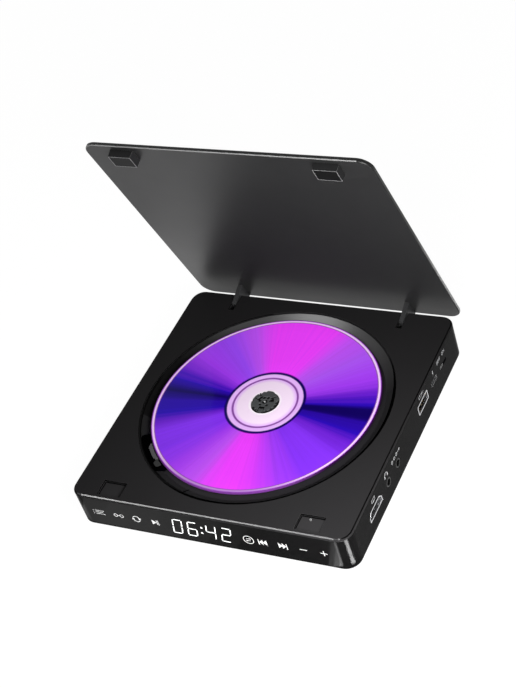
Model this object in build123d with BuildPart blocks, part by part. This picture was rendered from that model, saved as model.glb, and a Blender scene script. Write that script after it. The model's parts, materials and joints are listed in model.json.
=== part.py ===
from build123d import *
import os
from math import cos, radians, sin

# A portable disc player with a thin hinged lid over a round disc well.
# X runs to the right along the front, Y to the rear and Z up. The origin is the centre of
# the bottom cover's flat underside. Every length is in millimetres.

# Disc and its well
disc_x = 0.0
disc_radius = 60.0
disc_hole_radius = 7.5
disc_thickness = 1.2
disc_proud = 0.3
disc_edge = 0.15
well_gap = 6.65
well_fit = 0.1
well_step = 0.7
ledge_width = 0.65
well_depth = 3.7
cone_foot_gap = 1.2
well_floor = 1.5
well_flange_reach = 3.85
well_flange = 1.4
turntable_gap = 3.0
window_width = 27.0
window_border = 1.35
lug_reach = 3.0
lug_root = 1.3
lug_width = 7.0
lug_offset = -0.5
seam_angle = -105.8
seam_sweep = 0.36
seam_depth = 0.35

# Case, around the well
side_border = 9.65
front_border = 9.45
rear_border = 7.85
case_height = 20.6
corner_radius = 7.3
edge_chamfer = 0.98
wall = 2.2
panel_end = 2.0
deck_lip = 1.3
deck_thickness = 2.0
fit_gap = 0.15

# Bottom cover and feet
cover_thickness = 1.6
flange_height = 0.8
bottom_rim = 1.2
foot_radius = 5.0
foot_stand = 1.2
foot_recess = 0.6
foot_inset_x = 18.3
foot_inset_y = 19.3
foot_gap = 0.05
foot_round = 0.3
vent_length = 24.0
vent_width = 1.6
vent_pitch = 5.0
vent_count = 7
vent_x = 14.0
vent_y = 20.0

# Corner bosses under the deck and the screws that come up into them
boss_radius = 3.0
boss_inset_x = 9.3
boss_inset_front = 9.8
boss_inset_rear = 14.8
thread_radius = 1.05
thread_gap = 0.03
shank_gap = 0.4
screw_head_radius = 2.7
screw_head_height = 0.9
screw_head_gap = 0.2
screw_reach = 8.0
cross_length = 2.8
cross_width = 0.6
cross_depth = 0.5

# Lid, hinge and the swing between the photographed pose and closed
lid_thickness = 2.1
lid_edge = 0.4
lid_stand = 2.6
lid_open_angle = 70.3
hinge_inset = 3.5
hinge_drop = 7.1
hinge_inset_x = 27.3
pin_radius = 1.25
pin_running_gap = 0.05
pin_fit_gap = 0.02
pin_end = 0.8
arm_thickness = 2.4
arm_front = 8.4
arm_rear = 3.0
arm_toe = 1.9
eye_radius = 3.0
arm_slot_width = 3.2
arm_slot_gap = 0.5
washer_radius = 2.4
washer_thickness = 0.4
washer_gap = 0.05
ear_thickness = 1.6
ear_front = 2.9
ear_rear = 2.3
ear_drop = 2.5
bracket_plate = 1.2
bracket_width = 18.0
bracket_front = 10.3
bracket_rear = 1.1
wall_pocket_gap = 0.3
wall_pocket_depth = 1.2
hinge_screw_radius = 0.9
hinge_screw_head = 1.8
hinge_screw_offset = 6.0
hinge_screw_front = 5.8
hinge_screw_depth = 1.3

# Lid blocks, their pockets, magnets and catch plates
block_inset_x = 21.9
block_inset_y = 7.3
block_width = 12.6
block_length = 8.7
block_gap = 0.2
block_taper = 2.0
pocket_gap = 0.3
pocket_depth = 1.6
pocket_corner = 0.5
pocket_floor = 1.6
pocket_pad_margin = 1.5
pocket_pad_gap = 0.2
magnet_radius = 3.0
magnet_thickness = 2.0
magnet_gap = 0.05
catch_plate_width = 12.0
catch_plate_length = 5.4
catch_plate_thickness = 0.8
catch_plate_offset = -1.6

# Lid-sensing pin in the right pocket and its switch
sense_offset_x = -1.4
sense_offset_y = 3.1
sense_radius = 0.6
sense_gap = 0.05
sense_stand = 0.7
sense_length = 4.9
sense_travel = 1.0
sense_switch_width = 5.0
sense_switch_length = 3.0
sense_switch_height = 4.0

# Drive chassis. Its long axis u points from the spindle to the notch at the front left
drive_angle = 222.2
drive_drop = 9.2
chassis_thickness = 1.4
chassis_inner = -26.0
chassis_margin = 14.0
chassis_half_width = 22.5
side_plate_inner = -12.0
side_plate_set_back = 12.0
side_plate_margin = 4.0
pickup_window_inner = 14.0
pickup_window_margin = 4.5
pickup_window_width = 30.0
motor_hole_radius = 4.0
ear_ring_radius = 5.6
damper_inset_inner = 6.0
damper_inset_outer = 8.0
damper_overhang = 3.5
damper_radius = 4.5
damper_neck_radius = 3.0
damper_bore_radius = 1.6
damper_flange = 1.2
damper_gap = 0.05
post_radius = 3.2
damper_screw_head = 2.8
damper_screw_head_height = 1.0
damper_screw_end_gap = 0.4

# Guide rods, lead screw and sled motor
rod_rise = 3.7
rod_radius = 1.5
rod_v = 18.5
rod_fit_gap = 0.02
rod_running_gap = 0.03
holder_inner_u = 11.2
holder_set_back = 3.8
holder_length = 3.3
holder_width = 4.6
holder_cap = 0.8
screw_v = -24.5
screw_radius = 1.25
screw_running_gap = 0.05
screw_start_gap = 0.3
screw_bearing_set_back = 4.4
screw_bearing_length = 3.0
screw_bearing_width = 4.6
motor_radius = 3.6
motor_inner_u = -10.0
motor_outer_u = 9.0
motor_plate = 1.2
motor_boss_radius = 2.0
motor_boss_length = 0.8

# Spindle
motor_base_radius = 12.0
motor_base_thickness = 1.0
bearing_radius = 2.4
bearing_height = 4.0
shaft_radius = 1.0
shaft_gap = 0.03
shaft_reach = 6.4
stator_core_radius = 4.0
stator_radius = 9.2
stator_height = 3.0
stator_bore_gap = 0.05
stator_poles = 9
pole_width = 1.8
pole_head_width = 3.4
pole_head_length = 1.4
rotor_radius = 11.5
rotor_wall = 1.2
rotor_lift = 0.3
rotor_height = 5.0
turntable_neck_radius = 5.0
turntable_radius = 15.5
turntable_plate = 2.0
ring_inner_radius = 11.5
ring_outer_radius = 15.2
ring_thickness = 0.5
hub_radius = 7.35
hub_proud = 0.9
hub_chamfer = 0.5
hub_cup_radius = 1.6
hub_cup_depth = 0.6
catch_count = 3
catch_first_angle = 30.0
catch_width = 2.6
catch_length = 2.8
catch_tip_radius = 7.42
catch_slot_inner = 3.5
catch_slot_outer = 8.5
catch_gap = 0.05
catch_stand = 0.5
catch_floor = 0.9

# Pickup sled and its lens
lens_u = 24.0
sled_inner = 9.0
sled_outer = 11.0
sled_half_width = 15.0
sled_rise = 0.6
sled_height = 5.6
sled_corner = 1.5
bush_radius = 2.6
web_height = 2.6
web_root = 1.0
fork_length = 6.0
fork_height = 4.8
fork_reach = 2.4
nut_offset = -7.0
nut_length = 6.0
nut_half_height = 1.8
nut_wall = 2.1
lens_well_length = 11.0
lens_well_width = 16.0
lens_well_floor = 2.3
holder_side_gap = 0.3
lens_holder_lift = 1.0
lens_gap = 2.1
lens_radius = 2.3
lens_seat_radius = 4.1
lens_rise = 0.6
lens_sunk = 0.4
lens_crown = 0.54
lens_fit_gap = 0.02

# Main board and what stands on it
board_thickness = 1.6
board_drop = 13.9
board_wall_gap = 0.9
board_width = 27.2
board_inset_front = 16.3
board_inset_rear = 19.3
board_hole_left = 3.5
board_hole_spread = 13.5
board_hole_front = 4.0
board_hole_rear = 3.0
board_post_radius = 2.6
board_screw_head = 2.0
board_screw_head_height = 1.0
board_screw_end_gap = 0.9
processor_side = 13.0
processor_height = 1.4
memory_width = 8.0
memory_length = 12.0
memory_height = 1.0
driver_width = 7.0
driver_length = 10.0
chip_offset = 8.0
processor_y = -2.0
memory_y = 14.0
driver_y = -20.0
capacitor_radius = 2.5
capacitor_height = 7.0
capacitor_chamfer = 0.4
capacitor_inset = 28.0
capacitor_pitch = 7.0
capacitor_count = 3
capacitor_offset = 6.0

# HD port
hd_inset = 30.5
hd_rise = 0.8
hd_width = 15.0
hd_top_width = 10.2
hd_height = 5.1
hd_shoulder = 2.8
hd_depth = 11.0
hd_wall = 0.5
hd_plug = 2.5
hd_tongue_width = 10.0
hd_tongue_thickness = 1.2
hd_tongue_rise = 2.6
hd_tongue_start = 1.8
hd_leg = 1.2

# USB port
usb_inset = 53.5
usb_rise = 3.2
usb_width = 13.2
usb_height = 5.5
usb_corner = 0.7
usb_depth = 14.0
usb_wall = 0.5
usb_plug = 2.0
usb_back = 1.5
usb_tongue_width = 11.2
usb_tongue_thickness = 1.8
usb_tongue_rise = 3.4
usb_tongue_start = 1.5

# Jacks
headphone_inset = 47.3
av_inset = 59.7
jack_rise = 2.7
jack_bore_radius = 1.8
jack_bore_depth = 14.0
jack_nose_radius = 2.6
jack_body_width = 6.4
jack_back = 1.25
jack_cap = 3.0
jack_nose_set_back = 0.1

# Small power port
power_inset = 37.85
power_rise = 5.55
power_width = 7.4
power_height = 2.5
power_corner = 0.6
power_wall = 0.3
power_depth = 5.5
power_plug = 1.2
power_tongue_width = 4.0
power_tongue_thickness = 0.6
power_leg = 1.0

# Power switch
switch_inset = 24.8
switch_rise = 4.8
switch_slot_length = 8.4
switch_slot_height = 1.8
switch_body_margin = 1.8
switch_body_depth = 6.5
switch_cap = 3.8
switch_channel_depth = 4.0
knob_length = 4.0
knob_gap = 0.1
knob_set_back = 0.2
knob_rib_width = 0.4
knob_rib_depth = 0.3
knob_rib_count = 3

# Front board, display, touch pads and infrared receiver
touch_board_inset_left = 8.3
touch_board_inset_right = 10.3
touch_board_rise = 1.9
touch_board_cap = 6.6
touch_board_thickness = 1.2
pad_gap = 1.9
pad_radius = 3.2
key_drop = 11.0
key_count = 4
left_key_inset = 14.1
left_key_gap = 7.5
right_key_inset = 14.6
right_key_gap = 4.9
display_x = -4.0
display_drop = 0.1
display_width = 36.0
display_height = 11.2
display_pocket_depth = 1.2
display_gap = 0.1
receiver_x = 22.0
receiver_drop = 0.5
receiver_side = 5.0
receiver_gap = 0.1
prop_inset_left = 8.0
prop_inset_right = 14.0
prop_width = 5.0
prop_length = 3.0

# Places worked out from the sizes above
well_radius = disc_radius + well_gap
cone_foot_radius = disc_radius + cone_foot_gap
well_flange_radius = well_radius + well_flange_reach
case_width = 2 * (well_radius + side_border)
case_depth = 2 * well_radius + front_border + rear_border
disc_y = (front_border - rear_border) / 2
frame_height = case_height - deck_lip
deck_bottom = case_height - deck_thickness
inner_width = case_width - 2 * wall
inner_depth = case_depth - 2 * wall
inner_corner = corner_radius - wall
panel_length = case_depth - 2 * (corner_radius + panel_end)
front_y = -case_depth / 2
rear_y = case_depth / 2
side_x = case_width / 2
disc_bottom = case_height + disc_proud - disc_thickness
disc_top = disc_bottom + disc_thickness
well_floor_top = case_height - well_depth
lid_inner_z = case_height + lid_stand
well_underside = well_floor_top - well_floor
window_reach = well_radius - window_border
window_radius = turntable_radius + turntable_gap
foot_x = side_x - foot_inset_x
foot_y = rear_y - foot_inset_y
boss_x = side_x - boss_inset_x
boss_y = (front_y + boss_inset_front, rear_y - boss_inset_rear)
boss_points = [(x, y) for x in (-boss_x, boss_x) for y in boss_y]
hinge_x = side_x - hinge_inset_x
hinge_y = rear_y - hinge_inset
hinge_z = case_height - hinge_drop
bracket_front_y = hinge_y - bracket_front
bracket_rear_y = hinge_y + bracket_rear
hinge_screw_y = hinge_y - hinge_screw_front
block_x = side_x - block_inset_x
block_y = front_y + block_inset_y
block_height = lid_stand + pocket_depth - block_gap
pocket_width = block_width + 2 * pocket_gap
pocket_length = block_length + 2 * pocket_gap
pocket_pad_front_y = front_y + wall + pocket_pad_gap
catch_plate_y = block_y + catch_plate_offset
sense_x = block_x + sense_offset_x
sense_y = block_y + sense_offset_y
sense_bore_depth = sense_length + sense_travel - sense_stand - pocket_floor
chassis_z = well_underside - drive_drop
chassis_top = chassis_z + chassis_thickness
chassis_outer = disc_radius + chassis_margin
side_plate_outer = chassis_outer - side_plate_set_back
side_plate_edge = screw_v - side_plate_margin
pickup_window_outer = chassis_outer - pickup_window_margin
damper_u = (chassis_inner + damper_inset_inner, chassis_outer - damper_inset_outer)
damper_v = chassis_half_width + damper_overhang
damper_points = [(u, v) for u in damper_u for v in (-damper_v, damper_v)]
post_top = chassis_z - damper_flange
damper_screw_reach = post_top - cover_thickness - damper_screw_end_gap
rod_z = chassis_top + rod_rise
holder_outer_u = chassis_outer - holder_set_back
screw_start_u = motor_outer_u + screw_start_gap
screw_bearing_u = side_plate_outer - screw_bearing_set_back
sled_z = chassis_top + sled_rise
lens_holder_top = disc_bottom - lens_gap
board_top = case_height - board_drop
board_screw_reach = board_top - board_thickness - cover_thickness - board_screw_end_gap
board_right = inner_width / 2 - board_wall_gap
board_left = board_right - board_width
board_front = front_y + board_inset_front
board_rear = rear_y - board_inset_rear
board_hole_x = (board_left + board_hole_left, board_left + board_hole_left + board_hole_spread)
board_hole_y = (board_front + board_hole_front, board_rear - board_hole_rear)
board_points = [(x, y) for x in board_hole_x for y in board_hole_y]
chip_x = board_left + chip_offset
capacitor_x = board_left + capacitor_offset
capacitor_front_y = board_rear - capacitor_inset
hd_y = front_y + hd_inset
hd_z = board_top + hd_rise
hd_tongue_z = hd_z + hd_tongue_rise
usb_y = rear_y - usb_inset
usb_z = board_top + usb_rise
usb_tongue_z = usb_z + usb_tongue_rise
headphone_y = front_y + headphone_inset
av_y = front_y + av_inset
jack_z = board_top + jack_rise
jack_body_top = jack_z + jack_cap
power_y = rear_y - power_inset
power_z = board_top + power_rise
switch_y = rear_y - switch_inset
switch_z = board_top + switch_rise
switch_body_length = switch_slot_length + 2 * switch_body_margin
switch_body_top = switch_z + switch_cap
key_z = case_height - key_drop
left_key_start = left_key_inset - side_x
left_key_end = display_x - display_width / 2 - left_key_gap
left_key_pitch = (left_key_end - left_key_start) / (key_count - 1)
right_key_start = receiver_x + receiver_side / 2 + right_key_gap
right_key_end = side_x - right_key_inset
right_key_pitch = (right_key_end - right_key_start) / (key_count - 1)
left_keys = [left_key_start + index * left_key_pitch for index in range(key_count)]
right_keys = [right_key_start + index * right_key_pitch for index in range(key_count)]
touch_board_left = touch_board_inset_left - side_x
touch_board_right = side_x - touch_board_inset_right
touch_board_bottom = cover_thickness + touch_board_rise
touch_board_top = key_z + touch_board_cap
display_z = key_z - display_drop
receiver_z = key_z - receiver_drop
prop_x = (touch_board_left + prop_inset_left, display_x, touch_board_right - prop_inset_right)
hinge_places = [-hinge_x, hinge_x]
block_places = [-block_x, block_x]
hinge_screw_x = [x + side for x in hinge_places for side in (-hinge_screw_offset, hinge_screw_offset)]
hinge_screw_points = [(x, hinge_screw_y) for x in hinge_screw_x]

# Working planes
spin = Plane(origin=(disc_x, disc_y, 0))
drive = Plane(
    origin=(disc_x, disc_y, 0),
    x_dir=(cos(radians(drive_angle)), sin(radians(drive_angle)), 0),
    z_dir=(0, 0, 1),
)
right_face = Plane.YZ.offset(side_x)
swing = radians(lid_open_angle)
edge_back = rear_y - hinge_y
edge_up = lid_inner_z - hinge_z
lid_edge_y = hinge_y + edge_back * cos(swing) + edge_up * sin(swing)
lid_edge_z = hinge_z - edge_back * sin(swing) + edge_up * cos(swing)
# on the open lid's inner face: x to the right, y from the hinge edge to the free edge
lid_face = Plane(
    origin=(0, lid_edge_y, lid_edge_z),
    x_dir=(1, 0, 0),
    z_dir=(0, -sin(swing), -cos(swing)),
)
# seen from the right with the lid closed: x to the rear, y up, from the hinge axis
arm_side = Plane(
    origin=(0, hinge_y, hinge_z),
    x_dir=(0, cos(swing), -sin(swing)),
    z_dir=(1, 0, 0),
)


def across(u, v, z):
    """A plane square to the drive's long axis, with its x along v and its y up."""
    return Plane(origin=drive.from_local_coords((u, v, z)), x_dir=drive.y_dir, z_dir=drive.x_dir)


def catch_plane(index, z):
    """A level plane whose x points outwards along one of the hub's catches."""
    angle = radians(catch_first_angle + 360 * index / catch_count)
    return Plane(origin=(disc_x, disc_y, z), x_dir=(cos(angle), sin(angle), 0), z_dir=(0, 0, 1))


def hd_outline(margin, mode=Mode.ADD):
    """The HD port's outline on the right face, wide at the bottom, grown by a margin."""
    half = hd_width / 2 + margin
    top_half = hd_top_width / 2 + margin
    low = hd_z - margin
    high = hd_z + hd_height + margin
    shoulder = hd_z + hd_shoulder
    Polygon(
        (hd_y - half, low),
        (hd_y + half, low),
        (hd_y + half, shoulder),
        (hd_y + top_half, high),
        (hd_y - top_half, high),
        (hd_y - half, shoulder),
        align=None,
        mode=mode,
    )


def usb_outline(margin, mode=Mode.ADD):
    """The USB port's rounded outline on the right face, grown by a margin."""
    with Locations((usb_y, usb_z + usb_height / 2)):
        RectangleRounded(usb_width + 2 * margin, usb_height + 2 * margin, usb_corner, mode=mode)


def power_outline(margin, mode=Mode.ADD):
    """The small power port's rounded outline on the right face, grown by a margin."""
    with Locations((power_y, power_z)):
        RectangleRounded(power_width + 2 * margin, power_height + 2 * margin, power_corner, mode=mode)


def finish(piece, name):
    """Label a finished piece and write its file."""
    piece.part.label = name
    export_step(piece.part, f"parts/{name}.step")


os.makedirs("parts", exist_ok=True)

# Case frame: the front, left and rear walls and the right wall's rounded ends
with BuildPart() as case_frame:
    with BuildSketch(Plane.XY):
        RectangleRounded(case_width, case_depth, corner_radius)
        RectangleRounded(inner_width, inner_depth, inner_corner, mode=Mode.SUBTRACT)
    extrude(amount=frame_height)
    with BuildSketch(Plane.XY):
        RectangleRounded(
            case_width - 2 * bottom_rim,
            case_depth - 2 * bottom_rim,
            corner_radius - bottom_rim,
        )
    extrude(amount=flange_height, mode=Mode.SUBTRACT)
    # leave the right wall open for the port panel
    with BuildSketch(Plane.XY):
        with Locations((side_x - wall / 2, 0)):
            Rectangle(wall, panel_length)
    extrude(amount=frame_height, mode=Mode.SUBTRACT)
    # thin the front wall behind the display
    with BuildSketch(Plane.XZ.offset(inner_depth / 2)):
        with Locations((display_x, display_z)):
            Rectangle(display_width + 2 * fit_gap, display_height + 2 * fit_gap)
    extrude(amount=display_pocket_depth, mode=Mode.SUBTRACT)
    # open the rear wall for the hinge arms and hollow it for the bracket ears
    slot_floor = hinge_z - eye_radius - arm_slot_gap
    ear_span = arm_thickness + 2 * (washer_thickness + 2 * washer_gap) + 2 * ear_thickness
    with BuildSketch(Plane.XY.offset(slot_floor)):
        with Locations(*[(x, inner_depth / 2 + wall / 2) for x in hinge_places]):
            Rectangle(arm_slot_width, wall)
        with Locations(*[(x, inner_depth / 2 + wall_pocket_depth / 2) for x in hinge_places]):
            Rectangle(ear_span + 2 * wall_pocket_gap, wall_pocket_depth)
    extrude(amount=frame_height - slot_floor, mode=Mode.SUBTRACT)
finish(case_frame, "case_frame")

# Port panel: the flat right wall with the openings for the ports and the switch
with BuildPart() as port_panel:
    with BuildSketch(right_face):
        with Locations((0, frame_height / 2)):
            Rectangle(panel_length, frame_height)
    extrude(amount=-wall)
    with BuildSketch(right_face.offset(-bottom_rim)):
        with Locations((0, flange_height / 2)):
            Rectangle(panel_length, flange_height)
    extrude(amount=bottom_rim - wall, mode=Mode.SUBTRACT)
    with BuildSketch(right_face):
        hd_outline(fit_gap)
        usb_outline(fit_gap)
        power_outline(fit_gap)
        with Locations((headphone_y, jack_z), (av_y, jack_z)):
            Circle(jack_nose_radius + fit_gap)
        with Locations((switch_y, switch_z)):
            Rectangle(switch_slot_length, switch_slot_height)
    extrude(amount=-wall, mode=Mode.SUBTRACT)
finish(port_panel, "port_panel")

# Top deck: the flat plate on top, with a lip over the walls
with BuildPart() as top_deck:
    with BuildSketch(Plane.XY.offset(frame_height)):
        RectangleRounded(case_width, case_depth, corner_radius)
    extrude(amount=deck_lip)
    chamfer(top_deck.faces().sort_by(Axis.Z)[-1].edges(), edge_chamfer)
    with BuildSketch(Plane.XY.offset(deck_bottom)):
        RectangleRounded(inner_width - 2 * fit_gap, inner_depth - 2 * fit_gap, inner_corner)
    extrude(amount=deck_thickness - deck_lip)
    # pads that back the two pockets
    pad_rear_y = block_y + pocket_length / 2 + pocket_pad_margin
    pad_bottom = case_height - pocket_depth - pocket_floor
    with BuildSketch(Plane.XY.offset(pad_bottom)):
        with Locations(*[(x, (pad_rear_y + pocket_pad_front_y) / 2) for x in block_places]):
            Rectangle(pocket_width + 2 * pocket_pad_margin, pad_rear_y - pocket_pad_front_y)
    extrude(amount=deck_bottom - pad_bottom)
    with BuildSketch(Plane.XY.offset(case_height)):
        with Locations(*[(x, block_y) for x in block_places]):
            RectangleRounded(pocket_width, pocket_length, pocket_corner)
    extrude(amount=-pocket_depth, mode=Mode.SUBTRACT)
    # bosses that the bottom screws pull against
    with BuildSketch(Plane.XY.offset(cover_thickness)):
        with Locations(*boss_points):
            Circle(boss_radius)
            Circle(thread_radius + thread_gap, mode=Mode.SUBTRACT)
    extrude(amount=deck_bottom - cover_thickness)
    # the round opening over the well
    with BuildSketch(spin.offset(deck_bottom)):
        Circle(well_radius)
    extrude(amount=deck_thickness, mode=Mode.SUBTRACT)
    # slots for the hinge arms, open at the rear edge
    slot_front_y = hinge_y - arm_front - arm_slot_gap
    with BuildSketch(Plane.XY.offset(deck_bottom)):
        with Locations(*[(x, (slot_front_y + rear_y) / 2) for x in hinge_places]):
            Rectangle(arm_slot_width, rear_y - slot_front_y)
    extrude(amount=deck_thickness, mode=Mode.SUBTRACT)
    # hole for the lid-sensing pin
    with BuildSketch(Plane.XY.offset(pad_bottom)):
        with Locations((sense_x, sense_y)):
            Circle(sense_radius + sense_gap)
    extrude(amount=pocket_floor, mode=Mode.SUBTRACT)
    # pilot holes for the hinge screws
    with BuildSketch(Plane.XY.offset(deck_bottom)):
        with Locations(*hinge_screw_points):
            Circle(hinge_screw_radius + thread_gap)
    extrude(amount=hinge_screw_depth, mode=Mode.SUBTRACT)
finish(top_deck, "top_deck")

# Disc well: ledge, sloping ring and floor with the drive's window
well_axis = Axis((disc_x, disc_y, 0), (0, 0, 1))
with BuildPart() as disc_well:
    with BuildSketch(Plane(origin=(disc_x, disc_y, 0), x_dir=(1, 0, 0), z_dir=(0, -1, 0))):
        outer = well_radius - well_fit
        ledge_z = case_height - well_step
        cone_top_radius = outer - ledge_width
        with BuildLine():
            Polyline(
                (0, well_floor_top),
                (cone_foot_radius, well_floor_top),
                (cone_top_radius, ledge_z),
                (outer, ledge_z),
                (outer, deck_bottom),
                (well_flange_radius, deck_bottom),
                (well_flange_radius, deck_bottom - well_flange),
                (cone_top_radius + well_floor, deck_bottom - well_flange),
                (cone_foot_radius + well_floor, well_underside),
                (0, well_underside),
                close=True,
            )
        make_face()
    revolve(axis=well_axis)
    with BuildSketch(drive.offset(well_underside)):
        with Locations((window_reach, 0)):
            Rectangle(2 * window_reach, window_width)
        Circle(window_reach, mode=Mode.INTERSECT)
        Circle(window_radius)
    extrude(amount=well_depth + well_floor, mode=Mode.SUBTRACT)
    # a lug at the window's outer end, in the notch beside the disc's rim
    with BuildSketch(drive.offset(well_underside)):
        with Locations((window_reach + (lug_root - lug_reach) / 2, lug_offset)):
            Rectangle(lug_reach + lug_root, lug_width)
    extrude(amount=well_floor)
    # the fine radial seam across the sloping ring
    seam = radians(seam_angle)
    seam_plane = Plane(
        origin=(disc_x, disc_y, 0),
        x_dir=(cos(seam), sin(seam), 0),
        z_dir=(sin(seam), -cos(seam), 0),
    )
    with BuildSketch(seam_plane):
        with BuildLine():
            Polyline(
                (cone_foot_radius, well_floor_top - seam_depth),
                (cone_top_radius, ledge_z - seam_depth),
                (outer, ledge_z - seam_depth),
                (outer, ledge_z),
                (cone_top_radius, ledge_z),
                (cone_foot_radius, well_floor_top),
                close=True,
            )
        make_face()
    revolve(axis=well_axis, revolution_arc=seam_sweep, mode=Mode.SUBTRACT)
finish(disc_well, "disc_well")

# Bottom cover with its posts, foot recesses, vents and screw seats
with BuildPart() as bottom_cover:
    with BuildSketch(Plane.XY):
        RectangleRounded(
            case_width - 2 * (bottom_rim + fit_gap),
            case_depth - 2 * (bottom_rim + fit_gap),
            corner_radius - bottom_rim,
        )
    extrude(amount=flange_height)
    with BuildSketch(Plane.XY.offset(flange_height)):
        RectangleRounded(inner_width - 2 * fit_gap, inner_depth - 2 * fit_gap, inner_corner)
    extrude(amount=cover_thickness - flange_height)
    with BuildSketch(drive.offset(cover_thickness)):
        with Locations(*damper_points):
            Circle(post_radius)
            Circle(thread_radius + thread_gap, mode=Mode.SUBTRACT)
    extrude(amount=post_top - cover_thickness)
    with BuildSketch(Plane.XY.offset(cover_thickness)):
        with Locations(*board_points):
            Circle(board_post_radius)
            Circle(thread_radius + thread_gap, mode=Mode.SUBTRACT)
    extrude(amount=board_top - board_thickness - cover_thickness)
    board_face_y = front_y + wall + pad_gap
    with BuildSketch(Plane.XY.offset(cover_thickness)):
        with Locations(*[(x, board_face_y + touch_board_thickness / 2) for x in prop_x]):
            Rectangle(prop_width, prop_length)
    extrude(amount=touch_board_bottom - cover_thickness)
    with BuildSketch(Plane.XY):
        with GridLocations(2 * foot_x, 2 * foot_y, 2, 2):
            Circle(foot_radius + foot_gap)
    extrude(amount=foot_recess, mode=Mode.SUBTRACT)
    with BuildSketch(Plane.XY):
        with Locations(*boss_points):
            Circle(thread_radius + shank_gap)
    extrude(amount=cover_thickness, mode=Mode.SUBTRACT)
    with BuildSketch(Plane.XY):
        with Locations(*boss_points):
            Circle(screw_head_radius + screw_head_gap)
    extrude(amount=screw_head_height + fit_gap, mode=Mode.SUBTRACT)
    with BuildSketch(Plane.XY):
        with Locations((vent_x, vent_y)):
            with GridLocations(0, vent_pitch, 1, vent_count):
                SlotOverall(vent_length, vent_width)
    extrude(amount=cover_thickness, mode=Mode.SUBTRACT)
finish(bottom_cover, "bottom_cover")

# Rubber feet
with BuildPart() as rubber_feet:
    with BuildSketch(Plane.XY.offset(-foot_stand)):
        with GridLocations(2 * foot_x, 2 * foot_y, 2, 2):
            Circle(foot_radius)
    extrude(amount=foot_stand + foot_recess)
    fillet(rubber_feet.faces().group_by(Axis.Z)[0].edges(), foot_round)
finish(rubber_feet, "rubber_feet")

# Screws that hold the bottom cover to the deck's bosses
with BuildPart() as cover_screws:
    with BuildSketch(Plane.XY.offset(fit_gap)):
        with Locations(*boss_points):
            Circle(screw_head_radius)
    extrude(amount=screw_head_height)
    with BuildSketch(Plane.XY.offset(fit_gap + screw_head_height)):
        with Locations(*boss_points):
            Circle(thread_radius)
    extrude(amount=screw_reach)
    with BuildSketch(Plane.XY.offset(fit_gap)):
        with Locations(*boss_points):
            Rectangle(cross_length, cross_width)
            Rectangle(cross_width, cross_length)
    extrude(amount=cross_depth, mode=Mode.SUBTRACT)
finish(cover_screws, "cover_screws")

# Drive chassis: a steel plate with ears, rod holders, a motor plate and a screw bearing
with BuildPart() as drive_chassis:
    with BuildSketch(drive.offset(chassis_z)):
        with Locations(((chassis_inner + chassis_outer) / 2, 0)):
            Rectangle(chassis_outer - chassis_inner, 2 * chassis_half_width)
        with Locations(
            ((side_plate_inner + side_plate_outer) / 2, (side_plate_edge - chassis_half_width) / 2)
        ):
            Rectangle(side_plate_outer - side_plate_inner, -side_plate_edge - chassis_half_width)
        with Locations(*damper_points):
            Circle(ear_ring_radius)
        with Locations(((pickup_window_inner + pickup_window_outer) / 2, 0)):
            Rectangle(
                pickup_window_outer - pickup_window_inner, pickup_window_width, mode=Mode.SUBTRACT
            )
        with Locations(*damper_points):
            Circle(damper_neck_radius, mode=Mode.SUBTRACT)
        Circle(motor_hole_radius, mode=Mode.SUBTRACT)
    extrude(amount=chassis_thickness)
    holder_top = rod_z + rod_radius + holder_cap
    with BuildSketch(drive.offset(chassis_top)):
        for u in (holder_inner_u, holder_outer_u):
            with Locations((u + holder_length / 2, -rod_v), (u + holder_length / 2, rod_v)):
                Rectangle(holder_length, holder_width)
        with Locations((screw_bearing_u + screw_bearing_length / 2, screw_v)):
            Rectangle(screw_bearing_length, screw_bearing_width)
    extrude(amount=holder_top - chassis_top)
    with BuildSketch(drive.offset(chassis_top)):
        with Locations((motor_outer_u + motor_plate / 2, screw_v)):
            Rectangle(motor_plate, 2 * motor_radius)
    extrude(amount=rod_z + motor_radius - chassis_top)
    with BuildSketch(across(holder_inner_u, 0, rod_z)):
        with Locations((-rod_v, 0), (rod_v, 0)):
            Circle(rod_radius + rod_fit_gap)
    extrude(amount=holder_outer_u + holder_length - holder_inner_u, mode=Mode.SUBTRACT)
    with BuildSketch(across(screw_bearing_u, screw_v, rod_z)):
        Circle(screw_radius + screw_running_gap)
    extrude(amount=screw_bearing_length, mode=Mode.SUBTRACT)
    with BuildSketch(across(motor_outer_u, screw_v, rod_z)):
        Circle(motor_boss_radius + rod_fit_gap)
    extrude(amount=motor_plate, mode=Mode.SUBTRACT)
finish(drive_chassis, "drive_chassis")

# Rubber dampers in the chassis ears
with BuildPart() as rubber_dampers:
    with BuildSketch(drive.offset(chassis_z - damper_flange)):
        with Locations(*damper_points):
            Circle(damper_radius)
    extrude(amount=damper_flange)
    with BuildSketch(drive.offset(chassis_z)):
        with Locations(*damper_points):
            Circle(damper_neck_radius - damper_gap)
    extrude(amount=chassis_thickness)
    with BuildSketch(drive.offset(chassis_top)):
        with Locations(*damper_points):
            Circle(damper_radius)
    extrude(amount=damper_flange)
    with BuildSketch(drive.offset(chassis_z - damper_flange)):
        with Locations(*damper_points):
            Circle(damper_bore_radius)
    extrude(amount=chassis_thickness + 2 * damper_flange, mode=Mode.SUBTRACT)
finish(rubber_dampers, "rubber_dampers")

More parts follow.
